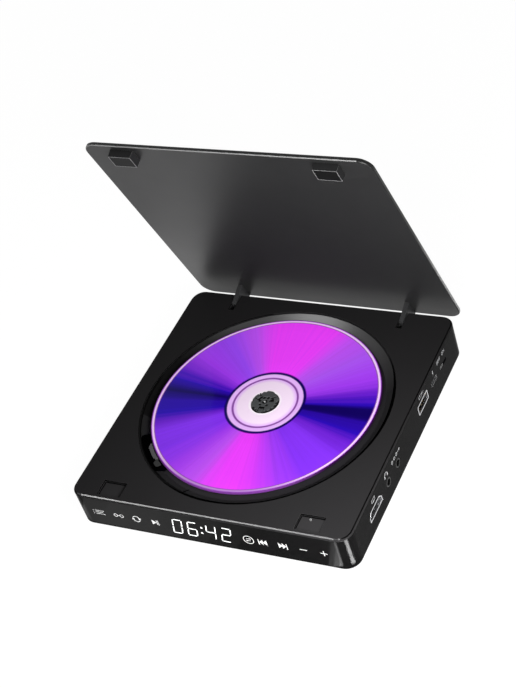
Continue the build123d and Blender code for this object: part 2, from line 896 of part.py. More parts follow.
# Screws through the dampers into the cover's posts
with BuildPart() as damper_screws:
    damper_top = chassis_top + damper_flange
    with BuildSketch(drive.offset(damper_top)):
        with Locations(*damper_points):
            Circle(damper_screw_head)
    extrude(amount=damper_screw_head_height)
    damper_screw_length = chassis_thickness + 2 * damper_flange + damper_screw_reach
    with BuildSketch(drive.offset(damper_top)):
        with Locations(*damper_points):
            Circle(thread_radius)
    extrude(amount=-damper_screw_length)
    with BuildSketch(drive.offset(damper_top + damper_screw_head_height)):
        with Locations(*damper_points):
            Rectangle(cross_length, cross_width)
            Rectangle(cross_width, cross_length)
    extrude(amount=-cross_depth, mode=Mode.SUBTRACT)
finish(damper_screws, "damper_screws")

# Spindle motor base with its bearing sleeve
sleeve_top = chassis_top + motor_base_thickness + bearing_height
with BuildPart() as spindle_motor_base:
    with BuildSketch(spin.offset(chassis_top)):
        Circle(motor_base_radius)
    extrude(amount=motor_base_thickness)
    with BuildSketch(spin.offset(chassis_top + motor_base_thickness)):
        Circle(bearing_radius)
    extrude(amount=bearing_height)
    with BuildSketch(spin.offset(chassis_top + motor_base_thickness)):
        Circle(shaft_radius + shaft_gap)
    extrude(amount=bearing_height, mode=Mode.SUBTRACT)
finish(spindle_motor_base, "spindle_motor_base")

# Stator: a toothed core on the bearing sleeve
with BuildPart() as spindle_stator:
    with BuildSketch(spin.offset(chassis_top + motor_base_thickness)):
        Circle(stator_core_radius)
        with PolarLocations(stator_radius / 2, stator_poles):
            Rectangle(stator_radius, pole_width)
        with PolarLocations(stator_radius - pole_head_length / 2, stator_poles):
            Rectangle(pole_head_length, pole_head_width)
        Circle(stator_radius, mode=Mode.INTERSECT)
        Circle(bearing_radius + stator_bore_gap, mode=Mode.SUBTRACT)
    extrude(amount=stator_height)
finish(spindle_stator, "spindle_stator")

# Rotor bell with the spindle shaft
rotor_bottom = chassis_top + motor_base_thickness + rotor_lift
rotor_top = rotor_bottom + rotor_height
with BuildPart() as spindle_rotor:
    with BuildSketch(spin.offset(rotor_bottom)):
        Circle(rotor_radius)
        Circle(rotor_radius - rotor_wall, mode=Mode.SUBTRACT)
    extrude(amount=rotor_height)
    with BuildSketch(spin.offset(rotor_top)):
        Circle(rotor_radius)
    extrude(amount=-(rotor_top - sleeve_top - rotor_lift))
    with BuildSketch(spin.offset(rotor_bottom)):
        Circle(shaft_radius)
    extrude(amount=rotor_height + shaft_reach)
finish(spindle_rotor, "spindle_rotor")

# Turntable, its rubber ring and the centring hub
ring_bottom = disc_bottom - ring_thickness
with BuildPart() as turntable:
    with BuildSketch(spin.offset(rotor_top)):
        Circle(turntable_neck_radius)
    extrude(amount=ring_bottom - rotor_top)
    with BuildSketch(spin.offset(ring_bottom)):
        Circle(turntable_radius)
    extrude(amount=-turntable_plate)
    with BuildSketch(spin.offset(rotor_top)):
        Circle(shaft_radius + rod_fit_gap)
    extrude(amount=ring_bottom - rotor_top, mode=Mode.SUBTRACT)
finish(turntable, "turntable")

with BuildPart() as turntable_ring:
    with BuildSketch(spin.offset(ring_bottom)):
        Circle(ring_outer_radius)
        Circle(ring_inner_radius, mode=Mode.SUBTRACT)
    extrude(amount=ring_thickness)
finish(turntable_ring, "turntable_ring")

hub_top = disc_top + hub_proud
catch_bottom = ring_bottom + catch_floor
with BuildPart() as spindle_hub:
    with BuildSketch(spin.offset(ring_bottom)):
        Circle(hub_radius)
    extrude(amount=hub_top - ring_bottom)
    chamfer(spindle_hub.faces().sort_by(Axis.Z)[-1].edges(), hub_chamfer)
    with BuildSketch(spin.offset(ring_bottom)):
        Circle(shaft_radius + rod_fit_gap)
    extrude(amount=rotor_top + shaft_reach - ring_bottom + thread_gap, mode=Mode.SUBTRACT)
    with BuildSketch(spin.offset(hub_top)):
        Circle(hub_cup_radius)
    extrude(amount=-hub_cup_depth, mode=Mode.SUBTRACT)
    for index in range(catch_count):
        with BuildSketch(catch_plane(index, catch_bottom)):
            with Locations(((catch_slot_inner + catch_slot_outer) / 2, 0)):
                Rectangle(catch_slot_outer - catch_slot_inner, catch_width + 2 * catch_gap)
        extrude(amount=hub_top - catch_bottom, mode=Mode.SUBTRACT)
finish(spindle_hub, "spindle_hub")

# Spring catches in the hub
for index in range(catch_count):
    with BuildPart() as hub_catch:
        with BuildSketch(catch_plane(index, catch_bottom + catch_gap)):
            with Locations((catch_tip_radius - catch_length / 2, 0)):
                Rectangle(catch_length, catch_width)
            Circle(catch_tip_radius, mode=Mode.INTERSECT)
        extrude(amount=disc_top + catch_stand - catch_bottom - catch_gap)
        chamfer(hub_catch.faces().sort_by(Axis.Z)[-1].edges(), catch_stand / 2)
    finish(hub_catch, f"hub_catch_{index + 1}")

# Disc
with BuildPart() as disc:
    with BuildSketch(spin.offset(disc_bottom)):
        Circle(disc_radius)
        Circle(disc_hole_radius, mode=Mode.SUBTRACT)
    extrude(amount=disc_thickness)
    chamfer(disc.edges().filter_by(GeomType.CIRCLE).group_by(SortBy.RADIUS)[-1], disc_edge)
finish(disc, "disc")

# Guide rods, held in the chassis holders
with BuildPart() as guide_rods:
    with BuildSketch(across(holder_inner_u, 0, rod_z)):
        with Locations((-rod_v, 0), (rod_v, 0)):
            Circle(rod_radius)
    extrude(amount=holder_outer_u + holder_length - holder_inner_u)
finish(guide_rods, "guide_rods")

# Sled motor and the lead screw that it turns
with BuildPart() as sled_motor:
    with BuildSketch(across(motor_inner_u, screw_v, rod_z)):
        Circle(motor_radius)
    extrude(amount=motor_outer_u - motor_inner_u)
    with BuildSketch(across(motor_outer_u, screw_v, rod_z)):
        Circle(motor_boss_radius)
    extrude(amount=motor_boss_length)
    with BuildSketch(across(motor_outer_u + motor_boss_length, screw_v, rod_z)):
        Circle(screw_radius + screw_running_gap)
    extrude(amount=-2 * motor_boss_length, mode=Mode.SUBTRACT)
finish(sled_motor, "sled_motor")

with BuildPart() as lead_screw:
    with BuildSketch(across(screw_start_u, screw_v, rod_z)):
        Circle(screw_radius)
    extrude(amount=screw_bearing_u + screw_bearing_length - screw_start_u)
finish(lead_screw, "lead_screw")

# Pickup sled: body, round bush on one rod, fork on the other and a nut on the screw
sled_top = sled_z + sled_height
sled_length = sled_inner + sled_outer
with BuildPart() as pickup_sled:
    with BuildSketch(drive.offset(sled_z)):
        with Locations((lens_u + (sled_outer - sled_inner) / 2, 0)):
            RectangleRounded(sled_length, 2 * sled_half_width, sled_corner)
    extrude(amount=sled_height)
    with BuildSketch(across(lens_u - sled_inner, 0, rod_z)):
        with Locations((-rod_v, 0)):
            Circle(bush_radius)
        with Locations(((-rod_v - sled_half_width) / 2, 0)):
            Rectangle(rod_v - sled_half_width + web_root, web_height)
    extrude(amount=sled_length)
    with BuildSketch(across(lens_u - fork_length / 2, 0, rod_z)):
        fork_edge = rod_v + fork_reach
        with Locations(((sled_half_width + fork_edge) / 2, 0)):
            Rectangle(fork_edge - sled_half_width, fork_height)
    extrude(amount=fork_length)
    with BuildSketch(across(lens_u + nut_offset, 0, rod_z)):
        nut_edge = -screw_v + nut_wall
        with Locations((-(rod_v + nut_edge) / 2, 0)):
            Rectangle(nut_edge - rod_v, 2 * nut_half_height)
    extrude(amount=nut_length)
    with BuildSketch(across(lens_u - sled_inner, 0, rod_z)):
        with Locations((-rod_v, 0)):
            Circle(rod_radius + rod_running_gap)
        with Locations((screw_v, 0)):
            Circle(screw_radius + screw_running_gap)
        with Locations((rod_v, 0)):
            Circle(rod_radius + rod_running_gap)
        with Locations((rod_v + fork_reach / 2, 0)):
            Rectangle(fork_reach, 2 * (rod_radius + rod_running_gap))
    extrude(amount=sled_length, mode=Mode.SUBTRACT)
    with BuildSketch(drive.offset(sled_z + lens_well_floor)):
        with Locations((lens_u, 0)):
            Rectangle(lens_well_length, lens_well_width)
    extrude(amount=sled_height - lens_well_floor, mode=Mode.SUBTRACT)
finish(pickup_sled, "pickup_sled")

# Lens holder and objective lens
holder_bottom = sled_z + lens_well_floor + lens_holder_lift
with BuildPart() as lens_holder:
    with BuildSketch(drive.offset(holder_bottom)):
        with Locations((lens_u, 0)):
            Rectangle(lens_well_length - 2 * holder_side_gap, lens_well_width - 2 * holder_side_gap)
    extrude(amount=sled_top - holder_bottom)
    with BuildSketch(drive.offset(sled_top)):
        with Locations((lens_u, 0)):
            Circle(lens_seat_radius)
    extrude(amount=lens_holder_top - sled_top)
    with BuildSketch(drive.offset(lens_holder_top - lens_sunk)):
        with Locations((lens_u, 0)):
            Circle(lens_radius + lens_fit_gap)
    extrude(amount=lens_sunk, mode=Mode.SUBTRACT)
finish(lens_holder, "lens_holder")

with BuildPart() as objective_lens:
    with BuildSketch(drive.offset(lens_holder_top - lens_sunk)):
        with Locations((lens_u, 0)):
            Circle(lens_radius)
    extrude(amount=lens_sunk + lens_rise)
    fillet(objective_lens.faces().sort_by(Axis.Z)[-1].edges(), lens_crown)
finish(objective_lens, "objective_lens")

# Main board, its screws, chips and capacitors
board_centre = ((board_left + board_right) / 2, (board_front + board_rear) / 2)
with BuildPart() as main_board:
    with BuildSketch(Plane.XY.offset(board_top)):
        with Locations(board_centre):
            Rectangle(board_right - board_left, board_rear - board_front)
        with Locations(*board_points):
            Circle(thread_radius + shank_gap, mode=Mode.SUBTRACT)
    extrude(amount=-board_thickness)
finish(main_board, "main_board")

with BuildPart() as board_screws:
    with BuildSketch(Plane.XY.offset(board_top)):
        with Locations(*board_points):
            Circle(board_screw_head)
    extrude(amount=board_screw_head_height)
    with BuildSketch(Plane.XY.offset(board_top)):
        with Locations(*board_points):
            Circle(thread_radius)
    extrude(amount=-(board_thickness + board_screw_reach))
finish(board_screws, "board_screws")

with BuildPart() as board_chips:
    with BuildSketch(Plane.XY.offset(board_top)):
        with Locations((chip_x, processor_y)):
            Rectangle(processor_side, processor_side)
    extrude(amount=processor_height)
    with BuildSketch(Plane.XY.offset(board_top)):
        with Locations((chip_x, memory_y)):
            Rectangle(memory_width, memory_length)
        with Locations((chip_x, driver_y)):
            Rectangle(driver_width, driver_length)
    extrude(amount=memory_height)
finish(board_chips, "board_chips")

with BuildPart() as capacitors:
    with BuildSketch(Plane.XY.offset(board_top)):
        for index in range(capacitor_count):
            with Locations((capacitor_x, capacitor_front_y + index * capacitor_pitch)):
                Circle(capacitor_radius)
    extrude(amount=capacitor_height)
    chamfer(capacitors.faces().group_by(Axis.Z)[-1].edges(), capacitor_chamfer)
finish(capacitors, "capacitors")

# HD port: steel shell and plastic core
with BuildPart() as hd_port_shell:
    with BuildSketch(right_face):
        hd_outline(0)
    extrude(amount=-hd_depth)
    with BuildSketch(right_face):
        hd_outline(-hd_wall)
    extrude(amount=-hd_depth, mode=Mode.SUBTRACT)
    with BuildSketch(Plane.XY.offset(board_top)):
        with Locations(
            (side_x - hd_depth + hd_leg, hd_y - hd_width / 2 + hd_leg),
            (side_x - hd_depth + hd_leg, hd_y + hd_width / 2 - hd_leg),
        ):
            Rectangle(hd_leg, hd_leg)
    extrude(amount=hd_z - board_top)
finish(hd_port_shell, "hd_port_shell")

with BuildPart() as hd_port_core:
    with BuildSketch(right_face.offset(-hd_depth)):
        hd_outline(-hd_wall)
    extrude(amount=hd_plug)
    with BuildSketch(right_face.offset(-hd_depth + hd_plug)):
        with Locations((hd_y, hd_tongue_z)):
            Rectangle(hd_tongue_width, hd_tongue_thickness)
    extrude(amount=hd_depth - hd_plug - hd_tongue_start)
finish(hd_port_core, "hd_port_core")

# USB port: steel shell and a plastic core that lifts it off the board
with BuildPart() as usb_port_shell:
    with BuildSketch(right_face):
        usb_outline(0)
        with Locations((usb_y, usb_z + usb_height / 2)):
            Rectangle(usb_width - 2 * usb_wall, usb_height - 2 * usb_wall, mode=Mode.SUBTRACT)
    extrude(amount=-usb_depth)
finish(usb_port_shell, "usb_port_shell")

with BuildPart() as usb_port_core:
    with BuildSketch(right_face.offset(-usb_depth)):
        with Locations((usb_y, (board_top + usb_z + usb_height) / 2)):
            Rectangle(usb_width, usb_z + usb_height - board_top)
    extrude(amount=-usb_back)
    with BuildSketch(right_face.offset(-usb_depth)):
        with Locations((usb_y, (board_top + usb_z) / 2)):
            Rectangle(usb_width, usb_z - board_top)
    extrude(amount=usb_depth - wall - fit_gap)
    with BuildSketch(right_face.offset(-usb_depth)):
        with Locations((usb_y, usb_z + usb_height / 2)):
            Rectangle(usb_width - 2 * usb_wall, usb_height - 2 * usb_wall)
    extrude(amount=usb_plug)
    with BuildSketch(right_face.offset(-usb_depth + usb_plug)):
        with Locations((usb_y, usb_tongue_z)):
            Rectangle(usb_tongue_width, usb_tongue_thickness)
    extrude(amount=usb_depth - usb_plug - usb_tongue_start)
finish(usb_port_core, "usb_port_core")

# Headphone and AV jacks
for jack_name, jack_y in (("headphone_jack", headphone_y), ("av_jack", av_y)):
    with BuildPart() as jack:
        nose_x = side_x - jack_nose_set_back
        body_x = side_x - wall - fit_gap
        jack_body_length = body_x - nose_x + jack_bore_depth + jack_back
        with BuildSketch(Plane.YZ.offset(body_x)):
            with Locations((jack_y, (board_top + jack_body_top) / 2)):
                Rectangle(jack_body_width, jack_body_top - board_top)
        extrude(amount=-jack_body_length)
        with BuildSketch(Plane.YZ.offset(body_x)):
            with Locations((jack_y, jack_z)):
                Circle(jack_nose_radius)
        extrude(amount=nose_x - body_x)
        with BuildSketch(Plane.YZ.offset(nose_x)):
            with Locations((jack_y, jack_z)):
                Circle(jack_bore_radius)
        extrude(amount=-jack_bore_depth, mode=Mode.SUBTRACT)
    finish(jack, jack_name)

# Small power port on two legs
with BuildPart() as power_port:
    with BuildSketch(right_face):
        power_outline(0)
    extrude(amount=-power_depth)
    with BuildSketch(right_face):
        with Locations((power_y, power_z)):
            Rectangle(power_width - 2 * power_wall, power_height - 2 * power_wall)
    extrude(amount=-(power_depth - power_plug), mode=Mode.SUBTRACT)
    with BuildSketch(right_face.offset(-power_depth + power_plug)):
        with Locations((power_y, power_z)):
            Rectangle(power_tongue_width, power_tongue_thickness)
    extrude(amount=power_depth - 2 * power_plug)
    with BuildSketch(Plane.XY.offset(board_top)):
        leg_x = side_x - power_depth + power_leg / 2
        leg_step = power_width / 2 - power_leg
        with Locations((leg_x, power_y - leg_step), (leg_x, power_y + leg_step)):
            Rectangle(power_leg, power_leg)
    extrude(amount=power_z - power_height / 2 - board_top + power_wall)
finish(power_port, "power_port")

# Power switch: body with a channel, and the sliding knob at its OFF end
with BuildPart() as power_switch_body:
    switch_front_x = side_x - wall - fit_gap
    with BuildSketch(Plane.YZ.offset(switch_front_x)):
        with Locations((switch_y, (board_top + switch_body_top) / 2)):
            Rectangle(switch_body_length, switch_body_top - board_top)
    extrude(amount=-switch_body_depth)
    with BuildSketch(Plane.YZ.offset(switch_front_x)):
        with Locations((switch_y, switch_z)):
            Rectangle(switch_slot_length, switch_slot_height)
    extrude(amount=-switch_channel_depth, mode=Mode.SUBTRACT)
finish(power_switch_body, "power_switch_body")

with BuildPart() as power_switch_knob:
    knob_face_x = side_x - knob_set_back
    knob_y = switch_y - switch_slot_length / 2 + knob_gap + knob_length / 2
    knob_height = switch_slot_height - 2 * knob_gap
    knob_back_x = switch_front_x - switch_channel_depth + knob_gap
    with BuildSketch(Plane.YZ.offset(knob_face_x)):
        with Locations((knob_y, switch_z)):
            Rectangle(knob_length, knob_height)
    extrude(amount=-(knob_face_x - knob_back_x))
    with BuildSketch(Plane.YZ.offset(knob_face_x)):
        with Locations((knob_y, switch_z)):
            with GridLocations(2 * knob_rib_width, 0, knob_rib_count, 1):
                Rectangle(knob_rib_width, knob_height)
    extrude(amount=-knob_rib_depth, mode=Mode.SUBTRACT)
finish(power_switch_knob, "power_switch_knob")

# Front board with its touch pads, display and infrared receiver
with BuildPart() as touch_board:
    with BuildSketch(Plane.XZ.offset(-board_face_y)):
        with Locations(
            (
                (touch_board_left + touch_board_right) / 2,
                (touch_board_bottom + touch_board_top) / 2,
            )
        ):
            Rectangle(touch_board_right - touch_board_left, touch_board_top - touch_board_bottom)
    extrude(amount=-touch_board_thickness)
finish(touch_board, "touch_board")

with BuildPart() as touch_pads:
    with BuildSketch(Plane.XZ.offset(-board_face_y)):
        with Locations(*[(x, key_z) for x in left_keys + right_keys]):
            Circle(pad_radius)
    extrude(amount=pad_gap)
finish(touch_pads, "touch_pads")

with BuildPart() as display_module:
    with BuildSketch(Plane.XZ.offset(-board_face_y)):
        with Locations((display_x, display_z)):
            Rectangle(display_width, display_height)
    extrude(amount=pad_gap + display_pocket_depth - display_gap)
finish(display_module, "display_module")

with BuildPart() as infrared_receiver:
    with BuildSketch(Plane.XZ.offset(-board_face_y)):
        with Locations((receiver_x, receiver_z)):
            Rectangle(receiver_side, receiver_side)
    extrude(amount=pad_gap - receiver_gap)
finish(infrared_receiver, "infrared_receiver")

# Lid panel, in the photographed pose
with BuildPart() as lid_panel:
    with BuildSketch(lid_face):
        with Locations((0, case_depth / 2)):
            RectangleRounded(case_width, case_depth, corner_radius)
    extrude(amount=-lid_thickness)
    chamfer(lid_panel.faces().sort_by(SortBy.AREA)[-2:].edges(), lid_edge)
finish(lid_panel, "lid_panel")

# Hinge arms: fins from the lid down to an eye on the hinge pin
for arm_name, place in (("left_hinge_arm", -hinge_x), ("right_hinge_arm", hinge_x)):
    with BuildPart() as hinge_arm:
        with BuildSketch(arm_side.offset(place)):
            with BuildLine():
                Polyline(
                    (arm_rear, 0),
                    (arm_rear, edge_up),
                    (-arm_front, edge_up),
                    (-arm_front, -arm_toe),
                    (0, -eye_radius),
                )
                RadiusArc((0, -eye_radius), (arm_rear, 0), -eye_radius)
            make_face()
            Circle(pin_radius + pin_running_gap, mode=Mode.SUBTRACT)
        extrude(amount=arm_thickness / 2, both=True)
    finish(hinge_arm, arm_name)

# Lid blocks with a magnet in each
block_along = rear_y - block_y
for block_name, place in (("left_lid_block", -block_x), ("right_lid_block", block_x)):
    with BuildPart() as lid_block:
        with BuildSketch(lid_face):
            with Locations((place, block_along)):
                Rectangle(block_width, block_length)
        extrude(amount=block_height, taper=block_taper)
        with BuildSketch(lid_face):
            with Locations((place, block_along)):
                Circle(magnet_radius + magnet_gap)
        extrude(amount=magnet_thickness + magnet_gap, mode=Mode.SUBTRACT)
    finish(lid_block, block_name)

with BuildPart() as lid_magnets:
    with BuildSketch(lid_face):
        with Locations(*[(x, block_along) for x in block_places]):
            Circle(magnet_radius)
    extrude(amount=magnet_thickness)
finish(lid_magnets, "lid_magnets")

# Hinge pins, brackets, screws and friction washers
ear_inner = arm_thickness / 2 + washer_thickness + 2 * washer_gap
pin_length = 2 * (ear_inner + ear_thickness + pin_end)
with BuildPart() as hinge_pins:
    for place in hinge_places:
        with BuildSketch(Plane.YZ.offset(place - pin_length / 2)):
            with Locations((hinge_y, hinge_z)):
                Circle(pin_radius)
        extrude(amount=pin_length)
finish(hinge_pins, "hinge_pins")

with BuildPart() as hinge_brackets:
    with BuildSketch(Plane.XY.offset(deck_bottom)):
        for place in hinge_places:
            with Locations((place, (bracket_front_y + bracket_rear_y) / 2)):
                Rectangle(bracket_width, bracket_rear_y - bracket_front_y)
            with Locations((place, (slot_front_y + bracket_rear_y) / 2)):
                Rectangle(2 * ear_inner, bracket_rear_y - slot_front_y, mode=Mode.SUBTRACT)
        with Locations(*hinge_screw_points):
            Circle(hinge_screw_radius + thread_gap, mode=Mode.SUBTRACT)
    extrude(amount=-bracket_plate)
    for place in hinge_places:
        for ear_start in (place - ear_inner - ear_thickness, place + ear_inner):
            with BuildSketch(Plane.YZ.offset(ear_start)):
                with Locations(
                    (
                        hinge_y + (ear_rear - ear_front) / 2,
                        (deck_bottom - bracket_plate + hinge_z - ear_drop) / 2,
                    )
                ):
                    Rectangle(ear_front + ear_rear, deck_bottom - bracket_plate - hinge_z + ear_drop)
                with Locations((hinge_y, hinge_z)):
                    Circle(pin_radius + pin_fit_gap, mode=Mode.SUBTRACT)
            extrude(amount=ear_thickness)
finish(hinge_brackets, "hinge_brackets")

with BuildPart() as hinge_screws:
    plate_bottom = deck_bottom - bracket_plate
    with BuildSketch(Plane.XY.offset(plate_bottom)):
        with Locations(*hinge_screw_points):
            Circle(hinge_screw_head)
    extrude(amount=-hinge_screw_radius)
    with BuildSketch(Plane.XY.offset(plate_bottom)):
        with Locations(*hinge_screw_points):
            Circle(hinge_screw_radius)
    extrude(amount=bracket_plate + hinge_screw_depth - thread_gap)
finish(hinge_screws, "hinge_screws")

with BuildPart() as friction_washers:
    for place in hinge_places:
        for start in (
            place - arm_thickness / 2 - washer_gap - washer_thickness,
            place + arm_thickness / 2 + washer_gap,
        ):
            with BuildSketch(Plane.YZ.offset(start)):
                with Locations((hinge_y, hinge_z)):
                    Circle(washer_radius)
                    Circle(pin_radius + pin_fit_gap, mode=Mode.SUBTRACT)
            extrude(amount=washer_thickness)
finish(friction_washers, "friction_washers")

# Steel plates under the pockets, for the magnets
with BuildPart() as catch_plates:
    with BuildSketch(Plane.XY.offset(pad_bottom)):
        with Locations(*[(x, catch_plate_y) for x in block_places]):
            Rectangle(catch_plate_width, catch_plate_length)
    extrude(amount=-catch_plate_thickness)
finish(catch_plates, "catch_plates")

# Lid-sensing pin and the switch that it presses
pocket_floor_z = case_height - pocket_depth
with BuildPart() as lid_sense_pin:
    with BuildSketch(Plane.XY.offset(pocket_floor_z + sense_stand)):
        with Locations((sense_x, sense_y)):
            Circle(sense_radius)
    extrude(amount=-sense_length)
    fillet(lid_sense_pin.faces().sort_by(Axis.Z)[-1].edges(), sense_radius / 2)
finish(lid_sense_pin, "lid_sense_pin")

with BuildPart() as lid_switch_body:
    with BuildSketch(Plane.XY.offset(pad_bottom)):
        with Locations((sense_x, sense_y)):
            Rectangle(sense_switch_width, sense_switch_length)
    extrude(amount=-sense_switch_height)
    with BuildSketch(Plane.XY.offset(pad_bottom)):
        with Locations((sense_x, sense_y)):
            Circle(sense_radius + sense_gap)
    extrude(amount=-sense_bore_depth, mode=Mode.SUBTRACT)
finish(lid_switch_body, "lid_switch_body")
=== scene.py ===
"""Dresses the solids of a portable disc player: camera, light, materials and fine detail."""

import json
from math import cos, degrees, hypot, pi, radians, sin

import bmesh
import bpy
from mathutils import Matrix, Vector


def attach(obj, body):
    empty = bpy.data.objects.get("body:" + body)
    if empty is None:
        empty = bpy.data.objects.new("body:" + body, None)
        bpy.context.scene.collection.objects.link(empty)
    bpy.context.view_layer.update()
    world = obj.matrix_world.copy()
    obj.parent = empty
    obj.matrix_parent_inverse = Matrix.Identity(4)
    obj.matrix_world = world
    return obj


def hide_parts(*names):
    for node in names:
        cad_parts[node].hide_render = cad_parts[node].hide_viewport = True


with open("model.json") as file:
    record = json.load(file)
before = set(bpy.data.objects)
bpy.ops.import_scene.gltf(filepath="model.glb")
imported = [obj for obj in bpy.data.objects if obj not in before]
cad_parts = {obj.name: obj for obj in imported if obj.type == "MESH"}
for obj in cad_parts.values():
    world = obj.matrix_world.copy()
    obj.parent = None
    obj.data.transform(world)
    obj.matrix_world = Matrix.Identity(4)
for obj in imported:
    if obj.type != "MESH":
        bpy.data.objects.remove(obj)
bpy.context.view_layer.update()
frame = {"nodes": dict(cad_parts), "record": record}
scene = bpy.context.scene
scene.view_settings.view_transform = "Standard"
MM = 0.001
PER_METRE = 1000

# Camera, fitted to the photograph's edges
camera_data = bpy.data.cameras.new("camera")
camera_data.sensor_width = 36.0
camera_data.lens = 87.3755
camera_data.clip_start = 0.01
camera_data.clip_end = 20.0
camera = bpy.data.objects.new("camera", camera_data)
scene.collection.objects.link(camera)
camera_place = Vector((380.2266, -486.052, 587.5879)) * MM
right = Vector((0.880877, 0.399263, -0.254253))
down = Vector((0.106174, -0.690115, -0.715869))
forward = Vector((-0.461284, 0.603597, -0.650298))
turn = Matrix((right, -down, -forward)).transposed()
camera.matrix_world = Matrix.Translation(camera_place) @ turn.to_4x4()
scene.camera = camera

# Sizes shared with the solids, in millimetres
DISC_Y = 0.8
DISC_TOP = 20.9
DISC_BOTTOM = 19.7
DISC_RADIUS = 60.0
HOLE_RADIUS = 7.5
FRONT_Y = -75.3
SIDE_X = 76.3
DECK_TOP = 20.6
BEVEL_DEPTH = 0.45
POCKET_X = 54.4
POCKET_Y = -68.0
POCKET_WIDTH = 13.2
POCKET_LENGTH = 9.3
POCKET_FLOOR = 19.0
POCKET_WALL = 19.95
POCKET_RIM = 20.3
LIP_RADIUS = 66.85
LEDGE = 19.9
CONE_FALL = 0.638
# Dark strip standing for the shadow in the gap round the well
GAP_SHADOW_OUTER = 66.5
GAP_SHADOW_BREAK = 65.9
GAP_SHADOW_INNER = 64.6
GAP_RADIUS = 65.4
HUB_TOP = 21.8
HUB_RADIUS = 7.35
RING_BOTTOM = 19.2
CATCH_ANGLES = (30.0, 150.0, 270.0)
SEAM_ANGLE = -105.8
JACK_Y = (-28.0, -15.6)
JACK_Z = 9.4
USB_Y = 21.8
USB_TOP = 13.3

# The open lid: where its inner face starts, the way up it and the way out of it
LID_FOOT = Vector((0.0, 82.11, 13.48)) * MM
LID_ALONG = Vector((0.0, -0.33706, 0.94148))
LID_INWARD = Vector((0.0, -0.94148, -0.33706))

# Shared by the materials, with sizes in millimetres
EDGE_GAIN = 8.0
RUB_SIZE = 2.5
FILM_SIZE = 30.0
DIAGONAL = 0.7071
# Near black for a seam, and for painted shade in gaps and on edges
SEAM_AND_SHADE_BLACK = (0.0008, 0.0008, 0.0008)


# ---------------------------------------------------------------- materials


def add(tree, kind, inputs=None, **settings):
    """Add a node, set its properties, and link or set its inputs."""
    node = tree.nodes.new(kind)
    for key, value in settings.items():
        setattr(node, key, value)
    for key, value in (inputs or {}).items():
        socket = node.inputs[key]
        if isinstance(value, bpy.types.NodeSocket):
            tree.links.new(value, socket)
        else:
            socket.default_value = value
    return node


def math(tree, operation, *values):
    """A Math node's result."""
    inputs = dict(enumerate(values))
    return add(tree, "ShaderNodeMath", inputs, operation=operation).outputs[0]


def vector(tree, operation, *values):
    """A Vector Math node's result: a number for a dot product or a length, else a vector."""
    node = add(tree, "ShaderNodeVectorMath", dict(enumerate(values)), operation=operation)
    return node.outputs["Value" if operation in ("DOT_PRODUCT", "LENGTH") else "Vector"]


def scaled(tree, colour, factor):
    """A colour times a number."""
    inputs = {0: colour, "Scale": factor}
    return add(tree, "ShaderNodeVectorMath", inputs, operation="SCALE").outputs[0]


def above(tree, value, limit):
    """1 where the value is over the limit."""
    return math(tree, "GREATER_THAN", value, limit)


def below(tree, value, limit):
    """1 where the value is under the limit."""
    return math(tree, "LESS_THAN", value, limit)


def within(tree, value, centre, reach):
    """1 where the value is near the centre."""
    return math(tree, "COMPARE", value, centre, reach)


def product(tree, first, *others):
    """Masks multiplied together."""
    for other in others:
        first = math(tree, "MULTIPLY", first, other)
    return first


def largest(tree, first, *others):
    """The largest of several masks."""
    for other in others:
        first = math(tree, "MAXIMUM", first, other)
    return first


def fade(tree, value, start_at, end_at, low=0.0, high=1.0):
    """A value's way from one place to another, mapped to low..high and held there."""
    inputs = {
        "Value": value, "From Min": start_at, "From Max": end_at, "To Min": low, "To Max": high,
    }
    return add(tree, "ShaderNodeMapRange", inputs).outputs[0]


def spread(tree, value, low, high):
    """Map 0..1 to low..high."""
    return fade(tree, value, 0.0, 1.0, low, high)


def mix(tree, factor, first, second):
    """Blend two colours."""
    node = add(tree, "ShaderNodeMix", {"Factor": factor}, data_type="RGBA")
    for socket, value in ((node.inputs[6], first), (node.inputs[7], second)):
        if isinstance(value, bpy.types.NodeSocket):
            tree.links.new(value, socket)
        else:
            socket.default_value = (*value, 1.0)
    return node.outputs[2]


def noise(tree, place, scale, detail=3.0, roughness=0.55):
    """A noise texture's factor; the scale is per metre."""
    inputs = {"Vector": place, "Scale": scale, "Detail": detail, "Roughness": roughness}
    return add(tree, "ShaderNodeTexNoise", inputs).outputs[0]


def ramp(tree, factor, stops):
    """A colour ramp from (place, colour) stops."""
    node = add(tree, "ShaderNodeValToRGB", {"Fac": factor})
    band = node.color_ramp.elements
    while len(band) > 1:
        band.remove(band[-1])
    band[0].position, band[0].color = stops[0][0], (*stops[0][1], 1.0)
    for place, colour in stops[1:]:
        band.new(place).color = (*colour, 1.0)
    return node.outputs[0]


def linear(code):
    """A written colour such as 'e93dfc' as linear values."""
    parts = [int(code[i : i + 2], 16) / 255 for i in (0, 2, 4)]
    return tuple(c / 12.92 if c <= 0.04045 else ((c + 0.055) / 1.055) ** 2.4 for c in parts)


def grey(value):
    """A colour with three equal parts."""
    return (value, value, value)


def axes(tree, value):
    """The X, Y and Z outputs of a vector."""
    return add(tree, "ShaderNodeSeparateXYZ", {0: value}).outputs


def object_place(tree):
    """A point's place on the object, in metres."""
    return add(tree, "ShaderNodeTexCoord").outputs["Object"]


def true_normal(tree):
    """The face's own normal."""
    return add(tree, "ShaderNodeNewGeometry").outputs["True Normal"]


def from_axis(tree, parts):
    """A point's level offset from the disc's axis."""
    y = math(tree, "SUBTRACT", parts["Y"], DISC_Y * MM)
    return add(tree, "ShaderNodeCombineXYZ", {"X": parts["X"], "Y": y}).outputs[0]


def start(name):
    """A new material with an empty tree, its shader and its object coordinates."""
    material = bpy.data.materials.new(name)
    material.use_nodes = True
    tree = material.node_tree
    tree.nodes.clear()
    shader = add(tree, "ShaderNodeBsdfPrincipled")
    output = add(tree, "ShaderNodeOutputMaterial")
    tree.links.new(shader.outputs[0], output.inputs[0])
    return material, tree, shader, object_place(tree)


